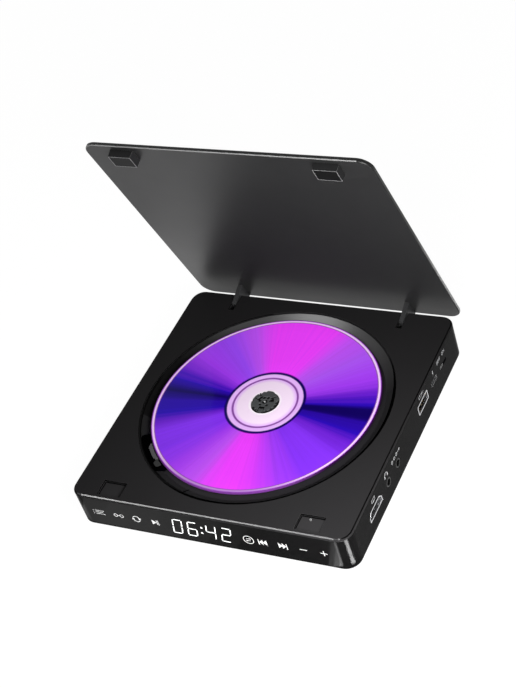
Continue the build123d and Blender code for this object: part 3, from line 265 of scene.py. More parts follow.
def base_of(material):
    """A material's tree, its shader and the socket that feeds its colour."""
    tree = material.node_tree
    shader = next(n for n in tree.nodes if n.type == "BSDF_PRINCIPLED")
    return tree, shader, shader.inputs["Base Color"].links[0].from_socket


def edge_mask(tree, radius_mm):
    """How close a point is to a sharp edge, and the rounded normal there."""
    rounded = add(tree, "ShaderNodeBevel", {"Radius": radius_mm * MM}, samples=4).outputs[0]
    flat = add(tree, "ShaderNodeNewGeometry").outputs["Normal"]
    lost = math(tree, "SUBTRACT", 1.0, vector(tree, "DOT_PRODUCT", rounded, flat))
    return math(tree, "MULTIPLY", lost, EDGE_GAIN), rounded


def surface(
    name,
    colour,
    rough,
    specular=0.5,
    metal=0.0,
    mottle=0.12,
    mottle_size=12.0,
    grain=0.05,
    grain_size=0.25,
    smudge=0.06,
    wear=0.35,
    edge=0.18,
    stretch=None,
    coat=0.0,
    coat_rough=0.1,
    wear_and_highlight_colour=None,
):
    """A moulded, rubbed or metal surface with lighter edges: rubbed on most, a painted highlight
    on some. Sizes are in millimetres.
    """
    material, tree, shader, place = start(name)
    if stretch:
        place = add(
            tree, "ShaderNodeMapping", {"Vector": place, "Scale": stretch}
        ).outputs[0]
    broad = noise(tree, place, PER_METRE / mottle_size, 4.0, 0.6)
    fine = noise(tree, place, PER_METRE / grain_size, 2.0, 0.5)
    shade = spread(tree, broad, 1 - mottle, 1 + mottle)
    speck = spread(tree, fine, 1 - mottle / 2, 1 + mottle / 2)
    base = scaled(tree, colour, product(tree, shade, speck))
    mask, rounded = edge_mask(tree, edge)
    # Lighter edges: rubbed on most surfaces, a painted highlight where a material sets them bright
    rubbed = noise(tree, place, PER_METRE / RUB_SIZE, 5.0, 0.7)
    edge_wear_and_highlight = product(tree, mask, spread(tree, rubbed, -0.4, 1.4), wear)
    edge_wear_and_highlight = add(tree, "ShaderNodeClamp", {"Value": edge_wear_and_highlight}).outputs[0]
    light = wear_and_highlight_colour or tuple(min(1.0, c * 2.2 + 0.03) for c in colour)
    tree.links.new(mix(tree, edge_wear_and_highlight, base, light), shader.inputs["Base Color"])
    film = noise(tree, place, PER_METRE / FILM_SIZE, 3.0, 0.65)
    tree.links.new(
        spread(tree, film, max(0.02, rough - smudge), min(1.0, rough + smudge)),
        shader.inputs["Roughness"],
    )
    bump = add(
        tree,
        "ShaderNodeBump",
        {"Strength": grain, "Distance": 0.1 * MM, "Height": fine, "Normal": rounded},
    ).outputs[0]
    tree.links.new(bump, shader.inputs["Normal"])
    shader.inputs["Metallic"].default_value = metal
    shader.inputs["Specular IOR Level"].default_value = specular
    shader.inputs["Coat Weight"].default_value = coat
    shader.inputs["Coat Roughness"].default_value = coat_rough
    return material


def bare_metal(name, colour, rough, **more):
    """A metal surface."""
    return surface(name, colour, rough, metal=1.0, **more)


def deck_material():
    """Satin deck: a smoother front bevel, two pockets with painted light, highlight and shade, and
    painted shade on its right-hand edges.
    """
    material = surface(
        "deck_satin", (0.0192, 0.0186, 0.0193), 0.5, specular=0.008, grain=0.12, grain_size=0.3,
        smudge=0.05, wear=0.12, mottle=0.06, mottle_size=25.0,
    )
    tree, shader, colour = base_of(material)
    parts = axes(tree, object_place(tree))
    normal = axes(tree, true_normal(tree))
    level = parts["Z"]

    upper = above(tree, level, (DECK_TOP - BEVEL_DEPTH) * MM)
    slope = within(tree, normal["Y"], -DIAGONAL, 0.05)
    tree.links.new(product(tree, slope, upper), shader.inputs["Coat Weight"])
    shader.inputs["Coat Roughness"].default_value = 0.14

    # each pocket: painted light on the floor, a painted highlight on the rim and painted shade on
    # the walls
    sideways = math(tree, "ABSOLUTE", parts["X"])
    around = product(
        tree,
        within(tree, sideways, POCKET_X * MM, 8.0 * MM),
        within(tree, parts["Y"], POCKET_Y * MM, 5.6 * MM),
    )
    pocket_floor = product(tree, around, within(tree, level, POCKET_FLOOR * MM, 0.3 * MM))
    walls = product(tree, below(tree, normal["Z"], 0.5), above(tree, level, POCKET_WALL * MM))
    mask = math(tree, "MINIMUM", edge_mask(tree, 0.3)[0], 1.0)
    rim = product(tree, mask, above(tree, level, POCKET_RIM * MM))
    colour = mix(tree, pocket_floor, colour, scaled(tree, colour, 1.35))
    colour = mix(tree, product(tree, around, rim), colour, grey(0.06))
    colour = mix(tree, product(tree, around, walls), colour, grey(0.0006))

    # painted shade: the lip of the well on the right and the right edge; painted shadow: the
    # outline of each floor
    flat = from_axis(tree, parts)
    to_right = vector(tree, "DOT_PRODUCT", flat, (0.79, -0.61, 0.0))
    inner = below(tree, vector(tree, "LENGTH", flat), LIP_RADIUS * MM)
    lip = product(tree, fade(tree, to_right, 12 * MM, 26 * MM), inner)
    flank = product(tree, above(tree, normal["X"], 0.35), upper)
    across = math(tree, "ABSOLUTE", math(tree, "SUBTRACT", sideways, POCKET_X * MM))
    along = math(tree, "ABSOLUTE", math(tree, "SUBTRACT", parts["Y"], POCKET_Y * MM))
    border = largest(
        tree,
        above(tree, across, (POCKET_WIDTH / 2 - 0.35) * MM),
        above(tree, along, (POCKET_LENGTH / 2 - 0.4) * MM),
    )
    dark = largest(tree, lip, flank, product(tree, border, pocket_floor))
    tree.links.new(mix(tree, dark, colour, SEAM_AND_SHADE_BLACK), shader.inputs["Base Color"])
    return material


def block_material():
    """Lid block: its face painted dark as shade, lighter sides, and edges painted light as a
    highlight.
    """
    # edges painted light as a highlight
    material = surface(
        "block_satin", (0.024, 0.024, 0.0245), 0.4, specular=0.05, grain=0.1, wear=1.0, edge=0.3,
        wear_and_highlight_colour=grey(0.2),
    )
    tree, shader, colour = base_of(material)
    facing = vector(tree, "DOT_PRODUCT", true_normal(tree), LID_INWARD)
    # painted shade: the face on the lid's inner side is darker than the sides
    colour = mix(tree, above(tree, facing, 0.9), colour, grey(0.007))
    tree.links.new(colour, shader.inputs["Base Color"])
    return material


def well_material():
    """Satin black ring: painted shade in the gap round its step and on its left side, a dark seam,
    and a smoother far side.
    """
    material = surface(
        "well_satin", (0.015, 0.0146, 0.0151), 0.32, specular=0.05, grain=0.12, grain_size=0.3,
        wear=0.1, mottle=0.08,
    )
    tree, shader, colour = base_of(material)
    parts = axes(tree, object_place(tree))
    flat = from_axis(tree, parts)
    y = axes(tree, flat)["Y"]
    reach = vector(tree, "LENGTH", flat)
    # painted shade in the gap round the step at the front and sides, and on the left side; the
    # seam is a dark line
    shift = fade(tree, y, -30 * MM, -55 * MM, high=0.8 * MM)
    outer = above(tree, math(tree, "ADD", reach, shift), GAP_RADIUS * MM)
    gap = product(tree, outer, fade(tree, y, 30 * MM, 5 * MM))
    seam_way = radians(SEAM_ANGLE)
    aside = vector(tree, "DOT_PRODUCT", flat, (-sin(seam_way), cos(seam_way), 0.0))
    seam = product(
        tree,
        within(tree, aside, 0.0, 0.45 * MM),
        below(tree, y, -50 * MM),
        above(tree, reach, 61 * MM),
    )
    west = product(
        tree, fade(tree, parts["X"], -44 * MM, -56 * MM, high=0.7), above(tree, y, -18 * MM)
    )
    colour = mix(tree, largest(tree, gap, seam, west), colour, SEAM_AND_SHADE_BLACK)
    tree.links.new(colour, shader.inputs["Base Color"])
    tilted = below(tree, axes(tree, true_normal(tree))["Y"], -0.1)
    polish = product(tree, fade(tree, y, 20 * MM, 50 * MM), tilted)
    tree.links.new(polish, shader.inputs["Coat Weight"])
    shader.inputs["Coat Roughness"].default_value = 0.3
    return material


def lid_material():
    """Smoked lid with a painted highlight line round its inner face, painted shade on its edges
    and a painted highlight low on its right side.
    """
    material = surface(
        "lid_smoked", (0.0195, 0.0195, 0.0197), 0.38, specular=0.23, grain=0.02, smudge=0.05,
        wear=0.1, mottle=0.05, edge=0.3,
    )
    tree, shader, colour = base_of(material)
    from_foot = vector(tree, "SUBTRACT", object_place(tree), LID_FOOT)
    along = vector(tree, "DOT_PRODUCT", from_foot, LID_ALONG)
    normal = true_normal(tree)
    facing = vector(tree, "DOT_PRODUCT", normal, LID_INWARD)
    side = below(tree, facing, 0.5)
    bevel = within(tree, facing, DIAGONAL, 0.2)
    east = above(tree, axes(tree, normal)["X"], 0.15)
    # painted highlight on the inner face's bevel and low on the right side; painted shade on the
    # right bevel and the side faces
    line = product(tree, bevel, fade(tree, along, 120 * MM, 147 * MM, 0.3, 1.0))
    low_east = product(tree, side, east, fade(tree, along, 85 * MM, 45 * MM))
    colour = mix(tree, line, colour, grey(0.28))
    colour = mix(tree, product(tree, bevel, east), colour, grey(0.001))
    colour = mix(tree, side, colour, grey(0.003))
    colour = mix(tree, low_east, colour, grey(0.3))
    tree.links.new(colour, shader.inputs["Base Color"])
    return material


def hub_material():
    """Grey hub whose holes and notches are painted dark as shade."""
    material = surface(
        "hub_grey", (0.055, 0.058, 0.06), 0.45, specular=0.3, grain=0.15, edge=0.1, wear=0.6
    )
    tree, shader, colour = base_of(material)
    level = axes(tree, object_place(tree))["Z"]
    # painted shade: everything below the cap's top is near black
    raised = fade(tree, level, 21.1 * MM, 21.38 * MM)
    tree.links.new(mix(tree, raised, grey(0.002), colour), shader.inputs["Base Color"])
    return material


def disc_material():
    """Recording side of the disc: its rainbow reflection painted as coloured wedges, a dark ring,
    a clear centre and a pale rim, with a painted glow.
    """
    material, tree, shader, place = start("disc_colours")
    flat = from_axis(tree, axes(tree, place))
    flat_parts = axes(tree, flat)
    x, y = flat_parts["X"], flat_parts["Y"]
    radius = math(tree, "MULTIPLY", vector(tree, "LENGTH", flat), PER_METRE / DISC_RADIUS)

    # painted reflection: the disc's rainbow as wedges by angle, in degrees, with painted streaks
    # of glint; the noise is drawn by direction only, so it runs outwards
    ray = vector(tree, "NORMALIZE", flat)
    streak = noise(tree, ray, 9.0, 5.0, 0.62)
    fan = noise(tree, ray, 28.0, 4.0, 0.6)
    turned = math(tree, "MULTIPLY_ADD", math(tree, "ARCTAN2", y, x), 1 / (2 * pi), 0.5)
    jitter = math(tree, "MULTIPLY", math(tree, "SUBTRACT", streak, 0.5), 0.03)
    turned = math(tree, "FRACT", math(tree, "ADD", turned, jitter))
    magenta, orchid, violet = linear("ec40fd"), linear("c052f5"), linear("a23cf0")
    indigo, blue, navy = linear("6a20cc"), linear("2a0aa0"), linear("10025a")
    iris, vivid, lilac, mauve = (linear(c) for c in ("8433f0", "2b0bb4", "aa54f0", "9848f2"))
    wedges = (
        (-180, navy), (-172, blue), (-162, vivid), (-156, indigo), (-150, iris), (-135, iris),
        (-120, violet), (-106, orchid), (-94, magenta), (-80, magenta), (-60, violet),
        (-45, iris), (-30, iris), (-20, indigo), (-13, vivid), (-6, blue), (-1, navy),
        (4, navy), (9, vivid), (17, indigo), (27, violet), (45, lilac), (60, orchid),
        (72, magenta), (107, magenta), (119, orchid), (133, mauve), (152, violet),
        (164, indigo), (170, vivid), (174, blue), (180, navy),
    )
    data = ramp(tree, turned, [((a + 180) / 360, c) for a, c in wedges])
    # painted light and shade: darker towards the front, lighter towards the back
    level = fade(tree, y, -55 * MM, 55 * MM, 0.94, 1.1)
    data = scaled(tree, data, product(tree, spread(tree, fan, 0.86, 1.14), level))

    # rings by radius, in millimetres; navy stands under the wedges
    white, pale, pink = linear("fff4ff"), linear("fae4fb"), linear("eab8ff")
    plum, rim, dusk = linear("83459c"), linear("f6d2ff"), linear("2c0a3a")
    rings = (
        (0.0, white), (8.2, white), (8.9, pale), (14.2, pale), (16.2, pink), (16.6, plum),
        (17.2, plum), (17.7, pink), (19.6, pink), (20.0, navy), (21.4, navy), (57.2, navy),
        (57.6, plum), (58.0, plum), (58.35, rim), (59.0, rim), (59.35, orchid), (59.6, dusk),
        (60.0, dusk),
    )
    zones = ramp(tree, radius, [(r / DISC_RADIUS, c) for r, c in rings])
    # painted shade: the rim dims towards the front
    near_side = product(
        tree, fade(tree, y, -35 * MM, -56 * MM, high=0.7), above(tree, radius, 0.9)
    )
    zones = mix(tree, near_side, zones, linear("8a45a8"))
    recorded = product(
        tree,
        fade(tree, radius, 21.0 / DISC_RADIUS, 21.7 / DISC_RADIUS),
        fade(tree, radius, 57.5 / DISC_RADIUS, 57.9 / DISC_RADIUS, 1.0, 0.0),
    )
    colour = mix(tree, recorded, zones, data)

    # painted light: the disc glows with its own colours though it is no lamp
    tree.links.new(scaled(tree, colour, 0.47), shader.inputs["Base Color"])
    tree.links.new(colour, shader.inputs["Emission Color"])
    shader.inputs["Emission Strength"].default_value = 0.5
    tree.links.new(spread(tree, recorded, 0.35, 0.28), shader.inputs["Roughness"])
    shader.inputs["Specular IOR Level"].default_value = 0.05
    shader.inputs["Coat Weight"].default_value = 0.04
    shader.inputs["Coat Roughness"].default_value = 0.05
    track = add(
        tree,
        "ShaderNodeTexWave",
        {"Vector": flat, "Scale": 900.0, "Distortion": 0.0},
        wave_type="RINGS",
        rings_direction="Z",
    ).outputs["Fac"]
    bump = add(
        tree, "ShaderNodeBump", {"Strength": 0.03, "Distance": 0.02 * MM, "Height": track}
    ).outputs[0]
    tree.links.new(bump, shader.inputs["Normal"])
    return material


def glow(name, code, strength):
    """A sign that gives off light, slightly unevenly: a lit display, and print given a painted
    glow.
    """
    material, tree, shader, place = start(name)
    lit = spread(tree, noise(tree, place, 900.0), 0.93, 1.05)
    colour = scaled(tree, linear(code), lit)
    tree.links.new(colour, shader.inputs["Base Color"])
    tree.links.new(colour, shader.inputs["Emission Color"])
    shader.inputs["Emission Strength"].default_value = strength
    shader.inputs["Roughness"].default_value = 0.4
    shader.inputs["Specular IOR Level"].default_value = 0.2
    return material


def board_material():
    """Green circuit board with copper runs under the mask."""
    material, tree, shader, place = start("circuit_board")
    cells = add(
        tree, "ShaderNodeTexVoronoi", {"Vector": place, "Scale": 420.0}, distance="CHEBYCHEV"
    ).outputs["Distance"]
    runs = ramp(tree, cells, [(0.0, grey(1)), (0.12, grey(1)), (0.16, grey(0))])
    colour = mix(tree, runs, linear("0c3d22"), linear("1c6a3c"))
    tree.links.new(colour, shader.inputs["Base Color"])
    shader.inputs["Roughness"].default_value = 0.35
    bump = add(
        tree, "ShaderNodeBump", {"Strength": 0.3, "Distance": 0.05 * MM, "Height": runs}
    ).outputs[0]
    tree.links.new(bump, shader.inputs["Normal"])
    return material


looks = {
    "case_plastic": surface(
        "case_gloss", (0.0045, 0.0044, 0.0045), 0.16, specular=0.0105, grain=0.02, smudge=0.04,
        wear=0.12, mottle=0.08,
    ),
    "deck_plastic": deck_material(),
    "well_plastic": well_material(),
    "cover_plastic": surface(
        "cover_textured", (0.009, 0.009, 0.0092), 0.6, specular=0.015, grain=0.6,
        grain_size=0.5, wear=0.2,
    ),
    "lid_plastic": lid_material(),
    "arm_plastic": surface("arm_satin", (0.03, 0.03, 0.031), 0.4, specular=0.2, grain=0.1),
    "block_plastic": block_material(),
    "foot_rubber": surface(
        "foot_rubber", grey(0.012), 0.85, specular=0.1, grain=0.5, grain_size=0.4
    ),
    "damper_rubber": surface(
        "damper_rubber", (0.02, 0.02, 0.021), 0.75, specular=0.3, grain=0.3
    ),
    "pad_rubber": surface(
        "pad_foam", grey(0.2), 0.9, specular=0.1, grain=0.9, grain_size=0.35
    ),
    "ring_rubber": surface("ring_rubber", grey(0.03), 0.7, specular=0.3, grain=0.3),
    "screw_steel": bare_metal("screw_steel", (0.45, 0.45, 0.46), 0.35, grain=0.1, wear=0.6),
    "chassis_steel": bare_metal(
        "chassis_steel", grey(0.5), 0.38, grain=0.15, stretch=(1.0, 8.0, 1.0)
    ),
    "rod_steel": bare_metal("rod_steel", (0.65, 0.65, 0.66), 0.16, grain=0.03),
    "motor_steel": bare_metal("motor_steel", (0.5, 0.5, 0.52), 0.3, grain=0.08),
    "port_steel": bare_metal("port_steel", (0.72, 0.72, 0.74), 0.24, grain=0.05, edge=0.08),
    "port_plastic": surface(
        "port_black", grey(0.002), 0.5, specular=0.03, grain=0.1, edge=0.08
    ),
    "board": board_material(),
    "chip": surface(
        "chip_epoxy", (0.014, 0.014, 0.015), 0.6, specular=0.3, grain=0.4, grain_size=0.15
    ),
    "capacitor": bare_metal("capacitor_can", (0.6, 0.6, 0.63), 0.3, grain=0.08),
    "display": surface(
        "display_glass", (0.006, 0.006, 0.007), 0.12, specular=0.4, grain=0.0
    ),
    "coil": bare_metal(
        "coil_copper", (0.6, 0.27, 0.12), 0.35, grain=0.9, grain_size=0.3,
        stretch=(1.0, 1.0, 6.0),
    ),
    "hub_plastic": hub_material(),
    "sled_metal": bare_metal(
        "sled_cast", (0.35, 0.35, 0.37), 0.45, grain=0.5, grain_size=0.4
    ),
    "lens_glass": surface(
        "lens_coated", (0.05, 0.07, 0.25), 0.06, specular=0.7, grain=0.0, coat=0.5,
        coat_rough=0.03,
    ),
    "magnet": bare_metal("magnet_nickel", (0.6, 0.59, 0.57), 0.25, grain=0.05),
}
# front and side print with a painted glow, and the lit display
white_print = glow("white_print", "dcdcdc", 0.2)
grey_print = glow("grey_print", "a8a8aa", 0.12)
display_light = glow("display_light", "e8eaea", 0.65)
gold = bare_metal("contact_gold", (0.85, 0.6, 0.25), 0.28, grain=0.05, edge=0.05)
# power port painted dark as the shade in its slot, with its edges painted light as a highlight
dark_port = surface(
    "port_dark", (0.06, 0.06, 0.062), 0.35, specular=0.3, grain=0.05, edge=0.1, wear=1.0,
    wear_and_highlight_colour=grey(0.5),
)
rim_black = surface(
    "rim_black", grey(0.012), 0.25, specular=0.3, grain=0.05, edge=0.1, wear=0.6
)
tab_grey = surface("tab_grey", (0.075, 0.075, 0.077), 0.5, specular=0.1, grain=0.2, edge=0.1)
# light grey for the painted highlight lines on the lid blocks
highlight_grey = surface("highlight_grey", grey(0.2), 0.35, specular=0.3, grain=0.1, edge=0.05)
centre_white = surface(
    "centre_white", (0.75, 0.75, 0.76), 0.4, specular=0.3, grain=0.1, edge=0.05
)
corner_grey = surface("corner_grey", grey(0.022), 0.5, specular=0.1, grain=0.2, edge=0.1)
# the lid-sense pin, painted light grey to stand for its highlight
pin_grey = surface("pin_grey", grey(0.16), 0.4, specular=0.3, grain=0.1, edge=0.1)
knob_grey = surface("knob_grey", grey(0.13), 0.4, specular=0.2, grain=0.1, edge=0.1)
# Near black, for pieces that stand for shade
shade_black = surface(
    "shade_black", grey(0.0006), 0.9, specular=0.0, grain=0.1, edge=0.1, wear=0.0
)

# Every node takes its slot's look, and three small ones have their own
own_looks = {"power_port": dark_port, "power_switch_knob": knob_grey, "lid_sense_pin": pin_grey}
slots = {row["node"]: row["material_slot"] for row in frame["record"]["subparts"]}
for name, node in frame["nodes"].items():
    look = own_looks.get(name) or looks.get(slots[name])
    if look:
        node.data.materials.clear()
        node.data.materials.append(look)


# ---------------------------------------------------------------- meshes


def piece(name, build, material, body, sharp=32.0):
    """Make a piece from a bmesh in millimetres, with edges over an angle kept sharp."""
    bmesh.ops.remove_doubles(build, verts=build.verts, dist=1e-5)
    bmesh.ops.recalc_face_normals(build, faces=build.faces)
    for face in build.faces:
        face.smooth = True
    for edge in build.edges:
        if len(edge.link_faces) != 2 or edge.calc_face_angle(0) > radians(sharp):
            edge.smooth = False
    build.transform(Matrix.Scale(MM, 4))
    mesh = bpy.data.meshes.new(name)
    build.to_mesh(mesh)
    build.free()
    mesh.materials.append(material)
    made = bpy.data.objects.new(name, mesh)
    scene.collection.objects.link(made)
    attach(made, body)
    return made


def lathe(build, profile, count, place=Matrix()):
    """Turn a closed (radius, height) profile round Z."""
    rings = []
    for step in range(count):
        a = 2 * pi * step / count
        points = [Vector((r * cos(a), r * sin(a), z)) for r, z in profile]
        rings.append([build.verts.new(place @ point) for point in points])
    for step in range(count):
        ring, after = rings[step], rings[(step + 1) % count]
        for k in range(len(profile)):
            m = (k + 1) % len(profile)
            build.faces.new((ring[k], ring[m], after[m], after[k]))


def flat_matrix(origin, across, up):
    """A matrix that takes (u, v, out) to a face's place."""
    across, up = Vector(across), Vector(up)
    out = across.cross(up)
    return Matrix.Translation(Vector(origin)) @ Matrix((across, up, out)).transposed().to_4x4()


FRONT = flat_matrix((0, FRONT_Y, 0), (1, 0, 0), (0, 0, 1))
SIDE = flat_matrix((SIDE_X, 0, 0), (0, 1, 0), (0, 0, 1))
INK = 0.03


def plate(build, points, place, low=0.0, high=INK):
    """A thin printed patch with the given outline."""
    top = [build.verts.new(place @ Vector((u, v, high))) for u, v in points]
    base = [build.verts.new(place @ Vector((u, v, low))) for u, v in points]
    build.faces.new(top)
    for k in range(len(points)):
        m = (k + 1) % len(points)
        build.faces.new((top[k], top[m], base[m], base[k]))


def stroke(build, points, width, place, closed=False, high=INK):
    """A line of even width along points, with mitred corners."""
    count = len(points)
    left, right_side = [], []
    for k in range(count):
        here = Vector(points[k])
        before = Vector(points[k - 1]) if (k or closed) else here
        after = Vector(points[(k + 1) % count]) if (k < count - 1 or closed) else here
        d1 = (here - before).normalized() if here != before else (after - here).normalized()
        d2 = (after - here).normalized() if after != here else d1
        n1, n2 = Vector((-d1.y, d1.x)), Vector((-d2.y, d2.x))
        n = (n1 + n2).normalized()
        n *= width / 2 / max(0.35, n.dot(n1))
        left.append(here + n)
        right_side.append(here - n)
    spans = count if closed else count - 1
    for k in range(spans):
        m = (k + 1) % count
        plate(build, [right_side[k], right_side[m], left[m], left[k]], place, high=high)


def arc(cx, cy, r, first, last, steps=18):
    """Points along an arc between two angles in degrees."""
    turns = [radians(first + (last - first) * k / steps) for k in range(steps + 1)]
    return [(cx + r * cos(a), cy + r * sin(a)) for a in turns]


def ring(build, cx, cy, r, width, place, steps=28):
    """A printed circle."""
    stroke(build, arc(cx, cy, r, 0, 360, steps)[:-1], width, place, closed=True)


def bar(build, u0, u1, v0, v1, place):
    """A printed rectangle."""
    plate(build, [(u0, v0), (u1, v0), (u1, v1), (u0, v1)], place)


# Disc, with a rounded upper edge
disc = bmesh.new()
ROUNDING = 0.28
profile = [
    (HOLE_RADIUS, DISC_BOTTOM + 0.12), (HOLE_RADIUS, DISC_TOP - 0.12),
    (HOLE_RADIUS + 0.12, DISC_TOP), (10.5, DISC_TOP), (10.7, DISC_TOP - 0.03),
    (16.2, DISC_TOP - 0.03), (16.5, DISC_TOP - 0.11), (17.1, DISC_TOP - 0.11),
    (17.4, DISC_TOP - 0.02), (20.3, DISC_TOP - 0.02), (20.6, DISC_TOP - 0.06),
    (21.2, DISC_TOP - 0.06), (21.6, DISC_TOP - 0.01),
]
profile += [(r, DISC_TOP - 0.01) for r in (30.0, 40.0, 50.0, 57.6)]
profile += [(57.9, DISC_TOP - 0.04), (58.3, DISC_TOP)]
profile += [
    (DISC_RADIUS - ROUNDING + ROUNDING * sin(a), DISC_TOP - ROUNDING + ROUNDING * cos(a))
    for a in (0.0, pi / 6, pi / 3, pi / 2)
]
profile += [(DISC_RADIUS, DISC_BOTTOM + 0.2), (DISC_RADIUS - 0.2, DISC_BOTTOM)]
profile += [(r, DISC_BOTTOM) for r in (50.0, 35.0, 22.0)]
profile += [
    (17.2, DISC_BOTTOM), (16.9, DISC_BOTTOM - 0.08), (16.6, DISC_BOTTOM),
    (HOLE_RADIUS + 0.12, DISC_BOTTOM),
]
lathe(disc, profile, 240, Matrix.Translation((0, DISC_Y, 0)))
disc_piece = piece("disc_body", disc, disc_material(), "disc", sharp=40.0)
disc_piece.visible_glossy = False
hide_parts("disc")

# Hub: a cap with a ring of small holes, a dimple and a notched rim. Each hole and notch is
# written as its distance from the axis, its angle and its radius
hub = bmesh.new()
ROUND = 180
STEPS = [0.0, 0.35, 0.7, 0.85, 1.0, 1.25, 1.5, 1.75, 2.0]
STEPS += [2.0 + 0.14 * k for k in range(1, 17)]
STEPS += [4.5, 4.75, 5.0, 5.3, 5.6, 5.9, 6.1, 6.3, 6.5, 6.7, 6.85, 7.0, 7.15, 7.3, HUB_RADIUS]
DIMPLE_START, DIMPLE_END, DIMPLE_DEPTH = 0.55, 1.35, 0.75
HOLE_DEPTH = 1.1
CAP_DROP, RIM_START, RIM_DROP = 0.25, 7.0, 0.7
CATCH_START, CATCH_HALF_WIDTH, CATCH_FLOOR = 3.3, 1.6, DISC_BOTTOM + 0.35
HOLES = [(2.9, a, 0.78) for a in (20, 72, 118, 176, 230, 312)]
NOTCHES = [
    (7.3, 126, 0.75), (7.2, 108, 0.5), (6.3, 165, 0.4), (6.9, 182, 0.55), (6.6, 228, 0.8),
    (6.4, 247, 0.55), (6.7, 262, 0.45), (6.5, 300, 0.4), (6.6, 322, 0.5), (6.7, 345, 0.75),
    (6.5, 2, 0.7), (6.9, 18, 0.45),
]


def hub_height(r, a):
    """Height of the hub's cap at a place, in millimetres."""
    x, y = r * cos(a), r * sin(a)
    z = HUB_TOP - CAP_DROP
    if DIMPLE_START < r < DIMPLE_END:
        z -= DIMPLE_DEPTH
    elif r < DIMPLE_START:
        z += 0.2
    for far, turn_by, size in HOLES + NOTCHES:
        away = hypot(x - far * cos(radians(turn_by)), y - far * sin(radians(turn_by)))
        if away < size:
            z = HUB_TOP - HOLE_DEPTH
    turned = degrees(a) % 360
    if r > RIM_START - 0.25 * (sin(a - 0.6) < 0) and not 70 < turned < 104:
        z -= RIM_DROP
    for turn_by in CATCH_ANGLES:
        u = x * cos(radians(turn_by)) + y * sin(radians(turn_by))
        v = -x * sin(radians(turn_by)) + y * cos(radians(turn_by))
        if u > CATCH_START and abs(v) < CATCH_HALF_WIDTH:
            z = CATCH_FLOOR
    return z


grid = []
for r in STEPS:
    row = []
    for k in range(ROUND):
        a = 2 * pi * k / ROUND
        row.append(hub.verts.new((r * cos(a), DISC_Y + r * sin(a), hub_height(r, a))))
    grid.append(row)
grid.append([hub.verts.new((v.co.x, v.co.y, RING_BOTTOM)) for v in grid[-1]])
for inner, outer in zip(grid, grid[1:]):
    for k in range(ROUND):
        m = (k + 1) % ROUND
        hub.faces.new((inner[k], outer[k], outer[m], inner[m]))
dot = bmesh.new()
DOT_RADIUS, NO_RADIUS = 0.42, 0.0001
dot_profile = [
    (NO_RADIUS, HUB_TOP - 0.1), (0.3, HUB_TOP - 0.03), (DOT_RADIUS, HUB_TOP - 0.1),
    (DOT_RADIUS, HUB_TOP - 0.4), (NO_RADIUS, HUB_TOP - 0.4),
]
lathe(dot, dot_profile, 32, Matrix.Translation((0, DISC_Y, 0)))
piece("hub_centre", dot, centre_white, "spindle")
hub_piece = piece("hub_cap", hub, looks["hub_plastic"], "spindle", sharp=25.0)
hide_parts("spindle_hub")

# Painted highlight: a fine light line round the face of each lid block, where its edge catches
# light; the blocks fit the pockets
highlight_lines = bmesh.new()
lid_turn = Matrix(((1, 0, 0), LID_ALONG, -LID_INWARD)).transposed().to_4x4()
lid_face = Matrix.Translation(LID_FOOT / MM) @ lid_turn
BLOCK_REACH, BLOCK_FACE = 143.3, 3.96
HIGHLIGHT_X, HIGHLIGHT_Y = 6.0, 4.05
highlight_outline = [(-HIGHLIGHT_X, -HIGHLIGHT_Y), (HIGHLIGHT_X, -HIGHLIGHT_Y), (HIGHLIGHT_X, HIGHLIGHT_Y), (-HIGHLIGHT_X, HIGHLIGHT_Y)]
for x in (-POCKET_X, POCKET_X):
    block_face = lid_face @ Matrix.Translation((x, BLOCK_REACH, -BLOCK_FACE))
    block_face = block_face @ Matrix.Scale(-1, 4, (0, 0, 1))
    stroke(highlight_lines, highlight_outline, 0.3, block_face, closed=True, high=0.06)
piece("block_highlights", highlight_lines, highlight_grey, "lid")

# Signs on the front: every one is a plain symbol, drawn in millimetres on the wall
signs = bmesh.new()
for k, v in enumerate((8.4, 9.65, 10.9)):
    bar(signs, -65.6, -65.0, v - 0.17, v + 0.17, FRONT)
    bar(signs, -64.2, -58.9 - 0.9 * (k == 1), v - 0.17, v + 0.17, FRONT)
ring(signs, -52.3, 9.65, 1.0, 0.36, FRONT)
bar(signs, -51.1, -50.1, 9.47, 9.83, FRONT)
ring(signs, -48.95, 9.65, 1.0, 0.36, FRONT)
stroke(signs, arc(-40.3, 9.55, 1.95, 15, 150), 0.4, FRONT)
stroke(signs, arc(-40.3, 9.55, 1.95, 195, 330), 0.4, FRONT)
plate(signs, [(-39.3, 10.2), (-37.6, 10.35), (-38.3, 8.7)], FRONT)
plate(signs, [(-41.3, 8.9), (-43.0, 8.75), (-42.3, 10.4)], FRONT)
plate(signs, [(-31.3, 7.8), (-28.9, 9.5), (-31.3, 11.2)], FRONT)
bar(signs, -28.8, -28.4, 7.8, 11.2, FRONT)
bar(signs, -28.0, -27.6, 7.8, 11.2, FRONT)
ring(signs, 22.0, 9.2, 2.7, 0.36, FRONT, 40)
stroke(signs, [(21.0, 9.9), (23.2, 9.9), (22.6, 10.5)], 0.3, FRONT)
stroke(signs, [(23.0, 8.6), (20.8, 8.6), (21.4, 8.0)], 0.3, FRONT)
bar(signs, 27.2, 27.65, 7.2, 11.1, FRONT)
plate(signs, [(29.75, 7.2), (29.75, 11.1), (27.75, 9.15)], FRONT)
plate(signs, [(31.8, 7.2), (31.8, 11.1), (29.8, 9.15)], FRONT)
plate(signs, [(38.0, 7.2), (40.0, 9.15), (38.0, 11.1)], FRONT)
plate(signs, [(40.05, 7.2), (42.05, 9.15), (40.05, 11.1)], FRONT)
bar(signs, 42.15, 42.6, 7.2, 11.1, FRONT)
bar(signs, 49.0, 52.9, 8.9, 9.35, FRONT)
bar(signs, 59.9, 63.5, 8.92, 9.34, FRONT)
bar(signs, 61.5, 61.9, 7.4, 10.9, FRONT)
